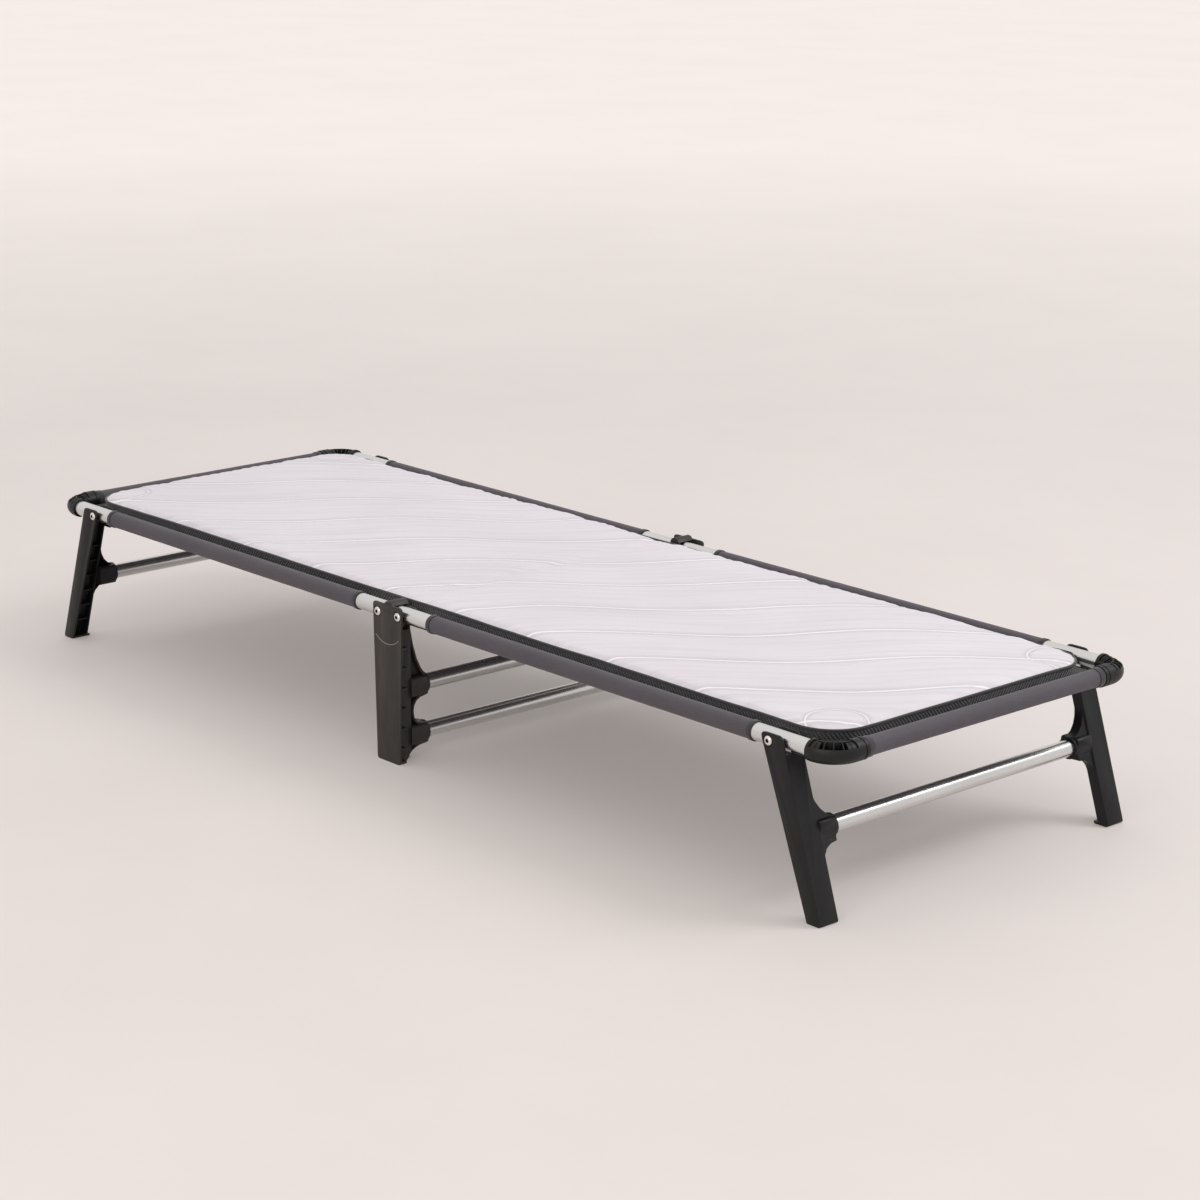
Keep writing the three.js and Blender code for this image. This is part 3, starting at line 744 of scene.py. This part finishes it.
def elbow(name, body, flip_x, flip_y, replaces):
    bm = elbow_shell()
    joined(bm, bar_of(BEND - FLOOR_HALF, BEND + FLOOR_HALF, -1 * MM, 1 * MM))
    joined(bm, bar_of(BEND - RIB / 2, BEND + RIB / 2, 0.5 * MM, elbow_r - SPINE_DROP))
    round_section = arc(tube_r + 1.2 * MM, 0, math.tau, 36)[:-1]
    for start in (0, math.pi / 2 - SOLID_END):
        joined(bm, swept(round_section, start, start + SOLID_END))
    for degrees in RIB_TURNS:
        joined(bm, fin(math.radians(degrees)))
    bmesh.ops.translate(bm, vec=(end_x - BEND, BEND - rail_y, rail_z), verts=bm.verts)
    side_mouth = Vector((mouth_x, -rail_y, rail_z))
    side_length = end_x - BEND - mouth_x + OVERLAP
    turned(collar_outline(side_length, 0), side_mouth, (1, 0, 0), into=bm)
    end_mouth = Vector((end_x, mouth_y, rail_z))
    end_length = mouth_y + rail_y - BEND + OVERLAP
    turned(collar_outline(end_length, GROOVE), end_mouth, (0, -1, 0), into=bm)
    return piece(name, mirrored(bm, flip_x, flip_y), nylon_elbows_and_socket_shade, body, replaces)


for end, flip_x in ENDS:
    for side, flip_y in SIDES:
        node = f"{end}_corner_{side}"
        elbow(node + "_elbow", f"{end}_half", flip_x, -flip_y, [node])
print("made four elbows, each with a spine and", len(RIB_TURNS), "ribs")

# %% [markdown]
# ## Legs
#
# The legs are open channels of nylon with webs and sockets. The frame has their true shape,
# but as loose flat triangles with knife edges. A copy is merged, its flat faces are joined
# up, and every edge gets a small moulded round, because that round is what catches light.

# %% Soften a copy
MOULD_ROUND = 0.9 * MM


def softened(node, width, segments=2):
    bm = bmesh.new()
    bm.from_mesh(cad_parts[node].data)
    bmesh.ops.remove_doubles(bm, verts=bm.verts, dist=0.01 * MM)
    bmesh.ops.dissolve_limit(bm, angle_limit=math.radians(2), verts=bm.verts, edges=bm.edges)
    hard = [edge for edge in bm.edges
            if edge.is_manifold and edge.calc_face_angle(0.0) > math.radians(32)]
    bmesh.ops.bevel(bm, geom=hard, offset=width, offset_type="OFFSET", segments=segments,
                    profile=0.5, affect="EDGES", clamp_overlap=True, material=-1)
    return bm


# %% End legs
for end, _ in ENDS:
    for side, _ in SIDES:
        node = f"{end}_leg_{side}"
        piece(node + "_moulding", softened(node, MOULD_ROUND), nylon_legs, f"{end}_legs", [node])


# %% A raised line on the centre legs
ARC_R = 40 * MM
ARC_HEIGHT = 227 * MM
ARC_HALF = math.radians(44)
LINE_R = 0.8 * MM


def raised_line(flip_y):
    """A thin round-backed arc, sunk by half into the face of a centre leg."""
    bm = bmesh.new()
    made = bmesh.ops.create_circle(bm, cap_ends=False, segments=8, radius=LINE_R)
    bmesh.ops.translate(bm, vec=(ARC_R, 0, 0), verts=made["verts"])
    start = Matrix.Rotation(math.radians(90) + ARC_HALF, 3, "Y")
    bmesh.ops.rotate(bm, cent=(0, 0, 0), matrix=start, verts=bm.verts)
    bmesh.ops.spin(bm, geom=bm.verts[:] + bm.edges[:], cent=(0, 0, 0), axis=(0, 1, 0),
                   angle=-2 * ARC_HALF, steps=24)
    bmesh.ops.holes_fill(bm, edges=[edge for edge in bm.edges if edge.is_boundary])
    bmesh.ops.translate(bm, vec=(0, face_y, ARC_HEIGHT), verts=bm.verts)
    bmesh.ops.recalc_face_normals(bm, faces=bm.faces)
    # The arc takes the pale second finish, a painted highlight.
    for face in bm.faces:
        face.material_index = 1
    return mirrored(bm, 1, flip_y)


for side, flip_y in SIDES:
    node = f"centre_leg_{side}"
    leg = joined(softened(node, MOULD_ROUND), raised_line(-flip_y))
    piece(node + "_moulding", leg, [nylon_centre, nylon_painted_highlight], "centre", [node])
print("made six legs")

# %% [markdown]
# ## Bolts, nuts and plugs
#
# The pivots are button-head bolts with a hexagon socket. The head is turned on the lathe,
# and the wall of its socket is then pulled in to six flats. The inside of a socket gets no
# light, so it is painted dark with the black nylon finish, as painted shade.

# %% Bolts
HEAD_R = 7 * MM
HEAD_DEPTH = 2.9 * MM
SOCKET_R = 3.1 * MM
SOCKET_DEPTH = 2.3 * MM
SHANK_R = 4 * MM


def bolt_outline(length):
    """Half of the bolt's section, from the floor of its socket round to its tip."""
    top = HEAD_DEPTH
    return [(0, top - SOCKET_DEPTH), (SOCKET_R, top - SOCKET_DEPTH), (SOCKET_R, top - 0.15 * MM),
            (SOCKET_R + 0.5 * MM, top), (4.6 * MM, top - 0.2 * MM), (6.0 * MM, top - 0.9 * MM),
            (6.8 * MM, top - 1.8 * MM), (HEAD_R, 0.5 * MM), (6.8 * MM, 0), (SHANK_R, 0),
            (SHANK_R, top - length), (0, top - length)]


def flatted(bm):
    """Gives the socket its six flats, and paints its inside dark as painted shade."""
    for face in bm.faces:
        away = face.calc_center_median()
        # Painted shade: the faces inside the socket take the dark second finish.
        if math.hypot(away.x, away.y) < SOCKET_R + 0.01 * MM and away.z > 0:
            face.material_index = 1
    for vert in bm.verts:
        radius = math.hypot(vert.co.x, vert.co.y)
        if abs(radius - SOCKET_R) < 0.01 * MM:
            around = math.atan2(vert.co.y, vert.co.x) % (math.pi / 3) - math.pi / 6
            pull = math.cos(math.pi / 6) / math.cos(around)
            vert.co.x *= pull
            vert.co.y *= pull


def bolt(node, body, flip_y):
    low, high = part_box(node)
    bm = turned(bolt_outline(high.y - low.y), (0, 0, 0), (0, 0, 1), 48)
    flatted(bm)
    head_y = (low.y + HEAD_DEPTH) if flip_y < 0 else (high.y - HEAD_DEPTH)
    swing = Matrix.Rotation(math.pi / 2 * (1 if flip_y < 0 else -1), 4, "X")
    place = Matrix.Translation(((low.x + high.x) / 2, head_y, (low.z + high.z) / 2))
    bmesh.ops.transform(bm, matrix=place @ swing, verts=bm.verts)
    # The second finish is the painted shade inside the socket.
    piece(node + "_steel", bm, [zinc, nylon_elbows_and_socket_shade], body, [node])


for end, _ in ENDS:
    for side, flip_y in SIDES:
        bolt(f"{end}_leg_bolt_{side}", f"{end}_legs", flip_y)
        bolt(f"{end}_pivot_bolt_{side}", "centre", flip_y)
print("made eight bolts")

# %% Nuts and plugs keep their shape and take a finish
def refinished(node, material):
    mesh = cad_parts[node].data
    mesh.materials.clear()
    mesh.materials.append(material)


for end, _ in ENDS:
    for side, _ in SIDES:
        refinished(f"{end}_leg_nut_{side}", zinc)
        refinished(f"{end}_pivot_nut_{side}", zinc)
        refinished(f"{end}_rail_plug_{side}", nylon_legs)
print("gave eight nuts and four rail plugs their finish")

# %% [markdown]
# ## The deck cloth
#
# Under the mattress each half of the cot has a flat cloth, drawn tight between its sleeves.
# It starts as a flat grid that is cut to shape by moving its rows, and keeps its flat map.
# Where no sleeve holds it, beside the legs and the centre, its edge is bound with tape.
# Cloth and mattress cross the fold; they ride on no body and stay where they are built.

# %% Deck measures
deck_low, deck_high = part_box("foot_deck")
inner_hem_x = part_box("foot_inner_hem_right")[0].x
outer_hem_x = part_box("foot_outer_hem_right")[1].x
deck_z = (deck_low.z + deck_high.z) / 2
to_sleeve = math.sqrt(sleeve_r ** 2 - (rail_z - deck_z) ** 2)
SEAM_LAP = 0.4 * MM
LEG_ROOM = 22.6 * MM
STEP_LENGTH = 6 * MM
CORNER_CUT = 32 * MM
BINDING = 9 * MM
deck_wide = rail_y - to_sleeve + SEAM_LAP
deck_end = end_x - to_sleeve + SEAM_LAP
deck_narrow = rail_y - LEG_ROOM
print("deck is", round(2 * deck_wide / MM), "mm wide and ends at", round(deck_end / MM), "mm")


# %% Bake the placing into the mesh
def fold(obj):
    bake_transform(obj)


# %% Deck cloth
def eased(value):
    value = min(max(value, 0.0), 1.0)
    return value * value * (3 - 2 * value)


def deck_half_width(x):
    """Full width where sleeves hold the cloth, less beside the legs, round at the far corner."""
    gained = eased((x - inner_hem_x) / STEP_LENGTH) * eased((outer_hem_x - x) / STEP_LENGTH)
    width = deck_narrow + (deck_wide - deck_narrow) * gained
    into_cut = (x - (deck_end - CORNER_CUT)) / CORNER_CUT
    return width - CORNER_CUT * (1 - math.sqrt(max(0.0, 1 - max(into_cut, 0.0) ** 2)))


def deck(end, flip_x):
    start = deck_low.x
    bm = bmesh.new()
    bmesh.ops.create_grid(bm, x_segments=170, y_segments=96, size=0.5)
    flat_map = bm.loops.layers.uv.new("cloth")
    for vert in bm.verts:
        x = start + (deck_end - start) * (vert.co.x + 0.5)
        vert.co = Vector((flip_x * x, 2 * vert.co.y * deck_half_width(x), 0))
    for face in bm.faces:
        middle_of = face.calc_center_median()
        x = abs(middle_of.x)
        free = x < inner_hem_x or x > outer_hem_x
        at_side = deck_half_width(x) - abs(middle_of.y) < BINDING
        face.material_index = 1 if free and at_side else 0
        for loop in face.loops:
            loop[flat_map].uv = loop.vert.co.xy
    area = sum(face.calc_area() for face in bm.faces)
    for vert in bm.verts:
        slack = noise.noise(Vector((vert.co.x * 14, vert.co.y * 22, 4.0)))
        vert.co.z = deck_z + 0.35 * MM * slack
    if flip_x < 0:
        bmesh.ops.reverse_faces(bm, faces=bm.faces)
    made = piece(f"{end}_deck_cloth", bm, [polyester, hem_tape], None, [f"{end}_deck"])
    flat = (2 * deck_wide, deck_end - start)
    fold(made)
    return flat, area


for end, flip_x in ENDS:
    flat, area = deck(end, flip_x)
print("each deck half is cut from", *(round(v / MM) for v in flat), "mm, area", round(area, 3))

# %% [markdown]
# ## The mattress
#
# The mattress is a thin foam pad in a zipped cover: pale knit on top, black spacer mesh round
# the side and underneath, and black piping along both edges. It lies loose, so it rolls gently
# and its edges are drawn into small puckers by the piping.
# Each half starts as a rounded grid with a thickness. A cloth simulation lets air swell it
# against its pinned seams, and the quilting is then pressed in by formula.

# %% Mattress measures
mattress_low, mattress_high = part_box("foot_mattress")
PAD_L = mattress_high.x
PAD_W = mattress_high.y
PAD_BOTTOM = mattress_low.z
PAD_TOP = mattress_high.z
PAD_DEPTH = PAD_TOP - PAD_BOTTOM
PAD_CORNER = 60 * MM
PIPING_R = {"upper": 2.2 * MM, "lower": 3.0 * MM}
SHOULDER = 4.2 * MM
CELL = 8 * MM
END_ZONE = 200 * MM
seam_z = PAD_TOP - SHOULDER
print("mattress is", round(2 * PAD_L / MM), "x", round(2 * PAD_W / MM), "x", round(PAD_DEPTH / MM))


# %% Places on a rounded rectangle
def into_corner(x, y):
    return abs(x) - (PAD_L - PAD_CORNER), abs(y) - (PAD_W - PAD_CORNER)


def from_edge(x, y):
    """Distance inwards from the outline of the mattress."""
    past_x, past_y = into_corner(x, y)
    outside = math.hypot(max(past_x, 0), max(past_y, 0))
    return PAD_CORNER - outside - min(max(past_x, past_y), 0)


def along_edge(x, y):
    """Distance along the outline from the middle of an end, to the nearest point."""
    past_x, past_y = into_corner(x, y)
    if past_x > 0 and past_y > 0:
        return PAD_W - PAD_CORNER + PAD_CORNER * math.atan2(past_y, past_x)
    if past_x > past_y:
        return abs(y)
    return PAD_W - PAD_CORNER + PAD_CORNER * math.pi / 2 + PAD_L - PAD_CORNER - abs(x)


def outward(x, y):
    """The way out of the mattress, square to its outline."""
    past_x, past_y = into_corner(x, y)
    if past_x > 0 and past_y > 0:
        way = Vector((past_x, past_y, 0)).normalized()
    else:
        way = Vector((1, 0, 0)) if past_x > past_y else Vector((0, 1, 0))
    return Vector((math.copysign(way.x, x), math.copysign(way.y, y), 0))


# %% How the loose pad lies
PUCKER_HIGH = 0.75 * MM
PUCKER_PITCH = 21 * MM
PUCKER_REACH = 26 * MM
DRAPE_REACH = 80 * MM


def swell(x, y):
    """Long soft waves of the whole pad, in metres up."""
    broad = noise.noise(Vector((x * 5.0, y * 6.0, 1.7)))
    fine = noise.noise(Vector((x * 13.0, y * 11.0, 5.1)))
    return (1.5 * broad + 0.6 * fine) * MM


def sway(x, y):
    """How far the edge wanders in or out."""
    return (1.6 * noise.noise(Vector((x * 6.0, y * 6.0, 9.2)))
            + 0.7 * noise.noise(Vector((x * 19.0, y * 19.0, 2.4)))) * MM


def pucker(x, y):
    """Small ripples square to the piping, dying away inwards."""
    inwards = from_edge(x, y)
    run = along_edge(x, y)
    drift = noise.noise(Vector((run * 9, math.copysign(2, y), math.copysign(3, x))))
    patchy = 0.5 + 0.9 * noise.noise(Vector((run * 6, math.copysign(5, y), 0)))
    ripple = math.sin(math.tau * run / PUCKER_PITCH + 5 * drift)
    return PUCKER_HIGH * max(patchy, 0.1) * ripple * math.exp(-((inwards / PUCKER_REACH) ** 2))


def drape(x, y):
    """Slack folds that run in from the long sides at the same slant as the quilting."""
    inwards = min(PAD_W - abs(y), 1.5 * DRAPE_REACH)
    crossing = x - WAVE_LEAN * y
    slack = noise.noise(Vector((crossing * 26, y * 3.0, 7.7)))
    crinkle = noise.noise(Vector((crossing * 75, y * 9.0, 3.1)))
    return (2.2 * slack + 0.8 * crinkle) * MM * math.exp(-((inwards / DRAPE_REACH) ** 2))


def quilting(x, y):
    """Foam that swells away from each quilting line, and a fine ridge along the line."""
    gap = from_wave(x, y)
    return (2.0 * (1 - math.exp(-((gap / (12 * MM)) ** 2)))
            + 1.0 * math.exp(-((gap / (4 * MM)) ** 2))) * MM


# %% Mattress grid
def pad_grid(flip_x):
    """A flat grid on the underside, whose rows end on the rounded outline."""
    rows_long = PAD_W - PAD_CORNER + PAD_CORNER * math.pi / 2
    reach_plain = PAD_L - END_ZONE
    bm = bmesh.new()
    bmesh.ops.create_grid(bm, x_segments=round(PAD_L / CELL),
                          y_segments=round(2 * rows_long / CELL), size=0.5)
    for vert in bm.verts:
        along = (vert.co.x + 0.5) * PAD_L
        run = abs(2 * vert.co.y) * rows_long
        turn_by = max(run - (PAD_W - PAD_CORNER), 0) / PAD_CORNER
        y = min(run, PAD_W - PAD_CORNER) + PAD_CORNER * math.sin(turn_by)
        limit = PAD_L - PAD_CORNER + PAD_CORNER * math.cos(turn_by)
        past = max(along - reach_plain, 0) / (PAD_L - reach_plain)
        x = min(along, reach_plain) + past * (limit - reach_plain)
        vert.co = Vector((flip_x * x, math.copysign(y, vert.co.y), PAD_BOTTOM))
    return bm


def place_key(part):
    """A number from where a part lies, so that the parts always come in one order."""
    x, y, z = part.co if isinstance(part, bmesh.types.BMVert) else (
        sum((vert.co for vert in part.verts), Vector()) / len(part.verts))
    return round(x / MM * 10) * 1e8 + round(y / MM * 10) * 1e4 + round(z / MM * 10)


def pad_block(flip_x):
    """The grid with a thickness, creased at its edges, its side and underside in mesh."""
    bm = pad_grid(flip_x)
    grown = bmesh.ops.extrude_face_region(bm, geom=bm.faces[:], use_keep_orig=True)["geom"]
    lifted = [part for part in grown if isinstance(part, bmesh.types.BMVert)]
    bmesh.ops.translate(bm, vec=(0, 0, PAD_DEPTH - SHOULDER), verts=lifted)
    upright = [edge for edge in bm.edges
               if abs(edge.verts[0].co.z - edge.verts[1].co.z) > PAD_DEPTH / 2]
    bmesh.ops.subdivide_edges(bm, edges=upright, cuts=2, use_grid_fill=True)
    bmesh.ops.recalc_face_normals(bm, faces=bm.faces)
    for parts in (bm.verts, bm.edges, bm.faces):
        parts.sort(key=place_key)
    crease = bm.edges.layers.float.new("crease_edge")
    for face in bm.faces:
        side = abs(face.normal.z) < 0.5
        inside = side and abs(face.calc_center_median().x) < MM
        face.material_index = 1 if (side and not inside) or face.normal.z < -0.5 else 0
    for edge in bm.edges:
        if edge.calc_face_angle(0.0) > math.radians(40):
            edge[crease] = 1.0
    return bm


# %% Swell it by simulation
PRESSURE = 4.0
CLOTH_FRAMES = 20
MOST_MOVE = 3.5 * MM


def puffed(obj):
    """Runs a cloth simulation with the seams pinned, and keeps its result, capped."""
    held = obj.vertex_groups.new(name="seams")
    pinned = [v.index for v in obj.data.vertices
              if v.co.z < seam_z - 0.1 * MM or from_edge(v.co.x, v.co.y) < 0.5 * MM
              or abs(v.co.x) < 10 * MM]
    held.add(pinned, 1.0, "REPLACE")
    cloth = obj.modifiers.new("swell", "CLOTH")
    cloth.settings.quality = 4
    cloth.settings.mass = 0.3
    cloth.settings.tension_stiffness = 12
    cloth.settings.compression_stiffness = 12
    cloth.settings.bending_stiffness = 0.4
    cloth.settings.shrink_min = -0.012
    cloth.settings.use_pressure = True
    cloth.settings.uniform_pressure_force = PRESSURE
    cloth.settings.effector_weights.gravity = 0.0
    cloth.settings.vertex_group_mass = held.name
    cloth.point_cache.frame_start = 1
    cloth.point_cache.frame_end = CLOTH_FRAMES
    for frame_number in range(1, CLOTH_FRAMES + 1):
        bpy.context.scene.frame_set(frame_number)
    settled = obj.evaluated_get(bpy.context.evaluated_depsgraph_get()).data
    moves = [settled.vertices[v.index].co - v.co for v in obj.data.vertices]
    for vert, move in zip(obj.data.vertices, moves):
        if move.length > MOST_MOVE:
            move *= MOST_MOVE / move.length
        vert.co += move
    obj.modifiers.remove(cloth)
    obj.vertex_groups.remove(held)
    bpy.context.scene.frame_set(1)
    return max(move.length for move in moves)


# %% Shape and map the cover
def lie(point):
    """Moves a point of the pad to where the loose pad lies: higher points wander more."""
    x, y, z = point
    high = (z - PAD_BOTTOM) / PAD_DEPTH
    edge = math.exp(-((from_edge(x, y) / 0.03) ** 2))
    return point + Vector((0, 0, high * swell(x, y))) + outward(x, y) * sway(x, y) * edge


def shaped(mesh):
    """Rounds the shoulder, presses in the quilting and puckers, and bellies the side."""
    for vert in mesh.vertices:
        x, y, z = vert.co
        inwards = from_edge(x, y)
        if z > seam_z - 0.2 * MM:
            rise = SHOULDER * (1 - math.exp(-((inwards / (13 * MM)) ** 2)))
            calm = eased(inwards / (10 * MM))
            z += rise * 0.62 + calm * (quilting(x, y) + drape(x, y)) + pucker(x, y)
        elif z > PAD_BOTTOM + 0.5 * MM and abs(x) > MM:
            belly = math.sin(math.pi * (z - PAD_BOTTOM) / (seam_z - PAD_BOTTOM))
            vert.co += outward(x, y) * MM * belly
            x, y, _ = vert.co
        vert.co = lie(Vector((x, y, z)))


def mapped(mesh):
    """A map in metres: along and up on the side, straight down on the top."""
    layer = mesh.uv_layers.new(name="cloth")
    for polygon in mesh.polygons:
        upright = abs(polygon.normal.z) < 0.6
        for corner in polygon.loop_indices:
            x, y, z = mesh.vertices[mesh.loops[corner].vertex_index].co
            layer.data[corner].uv = (along_edge(x, y), z) if upright else (x, y)


def mattress(end, flip_x):
    rough = piece(f"{end}_pad_rough", pad_block(flip_x), [cover_knit, border_mesh], None,
                  smooth=False)
    moved = puffed(rough)
    smooth = rough.modifiers.new("smooth", "SUBSURF")
    smooth.levels = smooth.render_levels = 1
    fine = rough.evaluated_get(bpy.context.evaluated_depsgraph_get())
    mesh = bpy.data.meshes.new_from_object(fine)
    bpy.data.objects.remove(rough)
    shaped(mesh)
    mapped(mesh)
    mesh.name = f"{end}_mattress_cover"
    mesh.shade_smooth()
    mesh.set_sharp_from_angle(angle=math.radians(60))
    made = bpy.data.objects.new(f"{end}_mattress_cover", mesh)
    bpy.context.scene.collection.objects.link(made)
    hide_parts(f"{end}_mattress")
    fold(made)
    return moved, len(mesh.polygons)


for end, flip_x in ENDS:
    moved, faces = mattress(end, flip_x)
    print(end, "cover swelled by up to", round(moved / MM, 1), "mm and has", faces, "faces")


# %% [markdown]
# ## Piping
#
# A round bead wrapped in tape is sewn along the top and bottom edges of the border. A curve
# with a round section follows the outline, and its points then move with the loose pad.

# %% Piping
STEP = 6 * MM


def outline_points(flip_x):
    """Half of the mattress outline, from the fold round the end and back to the fold."""
    straight = PAD_L - PAD_CORNER
    across = PAD_W - PAD_CORNER
    side = [(straight * k / 120, -PAD_W) for k in range(120)]
    corner = [(straight + PAD_CORNER * math.sin(a), -across - PAD_CORNER * math.cos(a))
              for a in (math.pi / 2 * k / 15 for k in range(16))]
    half = side + corner
    end_run = [(PAD_L, -across + STEP * k) for k in range(1, int(2 * across / STEP))]
    back = [(x, -y) for x, y in reversed(half)]
    return [(flip_x * x, y) for x, y in half + end_run + back]


def piping(end, flip_x, level, height, inset):
    curve = bpy.data.curves.new("path", "CURVE")
    curve.dimensions = "3D"
    curve.bevel_depth = PIPING_R[level]
    curve.bevel_resolution = 3
    curve.use_fill_caps = True
    points = outline_points(flip_x)
    line = curve.splines.new("POLY")
    line.points.add(len(points) - 1)
    for point, (x, y) in zip(line.points, points):
        at = lie(Vector((x, y, height)))
        point.co = (*(at - outward(x, y) * inset), 1)
    path = bpy.data.objects.new("path", curve)
    bpy.context.scene.collection.objects.link(path)
    drawn = path.evaluated_get(bpy.context.evaluated_depsgraph_get())
    mesh = bpy.data.meshes.new_from_object(drawn)
    bpy.data.objects.remove(path)
    bm = bmesh.new()
    bm.from_mesh(mesh)
    bmesh.ops.remove_doubles(bm, verts=bm.verts, dist=0.01 * MM)
    bmesh.ops.recalc_face_normals(bm, faces=bm.faces)
    made = piece(f"{end}_piping_{level}", bm, hem_tape, None)
    fold(made)
    return len(made.data.polygons)


for end, flip_x in ENDS:
    piping(end, flip_x, "upper", seam_z, 0.1 * MM)
    piping(end, flip_x, "lower", PAD_BOTTOM + PIPING_R["lower"] - 0.3 * MM, -0.4 * MM)
print("piping is", *(radius * 2 / MM for radius in PIPING_R.values()), "mm thick")

# %% [markdown]
# ## Floor and light
#
# A broad soft light from high on the right and a weaker one from the near side keep the
# shadows faint. The sky fills in from all round, so that the dark legs still show their shape.
# It is brighter overhead than at the horizon, so that the tubes show their roundness. The
# floor carries painted light: it glows a little, more so far off, as a lit studio sweep looks,
# which softens the shade under the cot.

# %% Floor
def pale_floor():
    material, tree = blank("pale_plaster_floor_painted_glow")
    where = add(tree, "TexCoord", out="Object")
    cloud = add(tree, "TexNoise", {"Vector": where, "Scale": 1.6, "Detail": 8.0,
                                   "Roughness": 0.62})
    tone = add(tree, "MapRange", (cloud, 0.35, 0.65, 0.0, 1.0))
    colour = add(tree, "Mix", {0: tone, 6: linear("#bcb6b3"), 7: linear("#c0bab7")}, 2,
                 data_type="RGBA")
    # Painted light: the floor glows, more the farther it is from the cot, to lighten the shade
    # under it.
    reach = add(tree, "VectorMath", (where,), "Value", operation="LENGTH")
    shade(tree, Roughness=0.7, Emission_Color=linear("#f4ebe6"), Base_Color=colour,
          Emission_Strength=add(tree, "MapRange", (reach, 2.5, 7.5, 0.2, 0.44)))
    return material


floor_mesh = bmesh.new()
bmesh.ops.create_grid(floor_mesh, x_segments=1, y_segments=1, size=40)
floor = piece("floor", floor_mesh, pale_floor(), None)

# %% Lights
def soft_light(name, place, aim, size, power, colour):
    data = bpy.data.lights.new(name, "AREA")
    data.shape = "DISK"
    data.size = size
    data.energy = power
    data.color = linear(colour)[:3]
    light = bpy.data.objects.new(name, data)
    light.location = place
    light.rotation_euler = (Vector(aim) - Vector(place)).to_track_quat("-Z", "Y").to_euler()
    bpy.context.scene.collection.objects.link(light)


soft_light("key", (2.6, 2.4, 3.6), (0, 0, 0.2), 2.4, 74, "#fbfbff")
soft_light("front", (1.5, -3.6, 1.6), (0, 0, 0.1), 2.0, 26, "#fff3ea")
print("two lights")

# %% Sky
world = bpy.data.worlds.new("studio")
world.use_nodes = True
sky_tree = world.node_tree
sky = sky_tree.nodes["Background"]
upward = add(sky_tree, "SeparateXYZ", (add(sky_tree, "TexCoord", out="Generated"),), 2)
feed(sky_tree, sky.inputs["Color"], linear("#fffcfb"))
feed(sky_tree, sky.inputs["Strength"], add(sky_tree, "MapRange", (upward, 0.1, 0.8, 0.8, 0.98)))
bpy.context.scene.world = world
bpy.context.scene.view_settings.view_transform = "Standard"
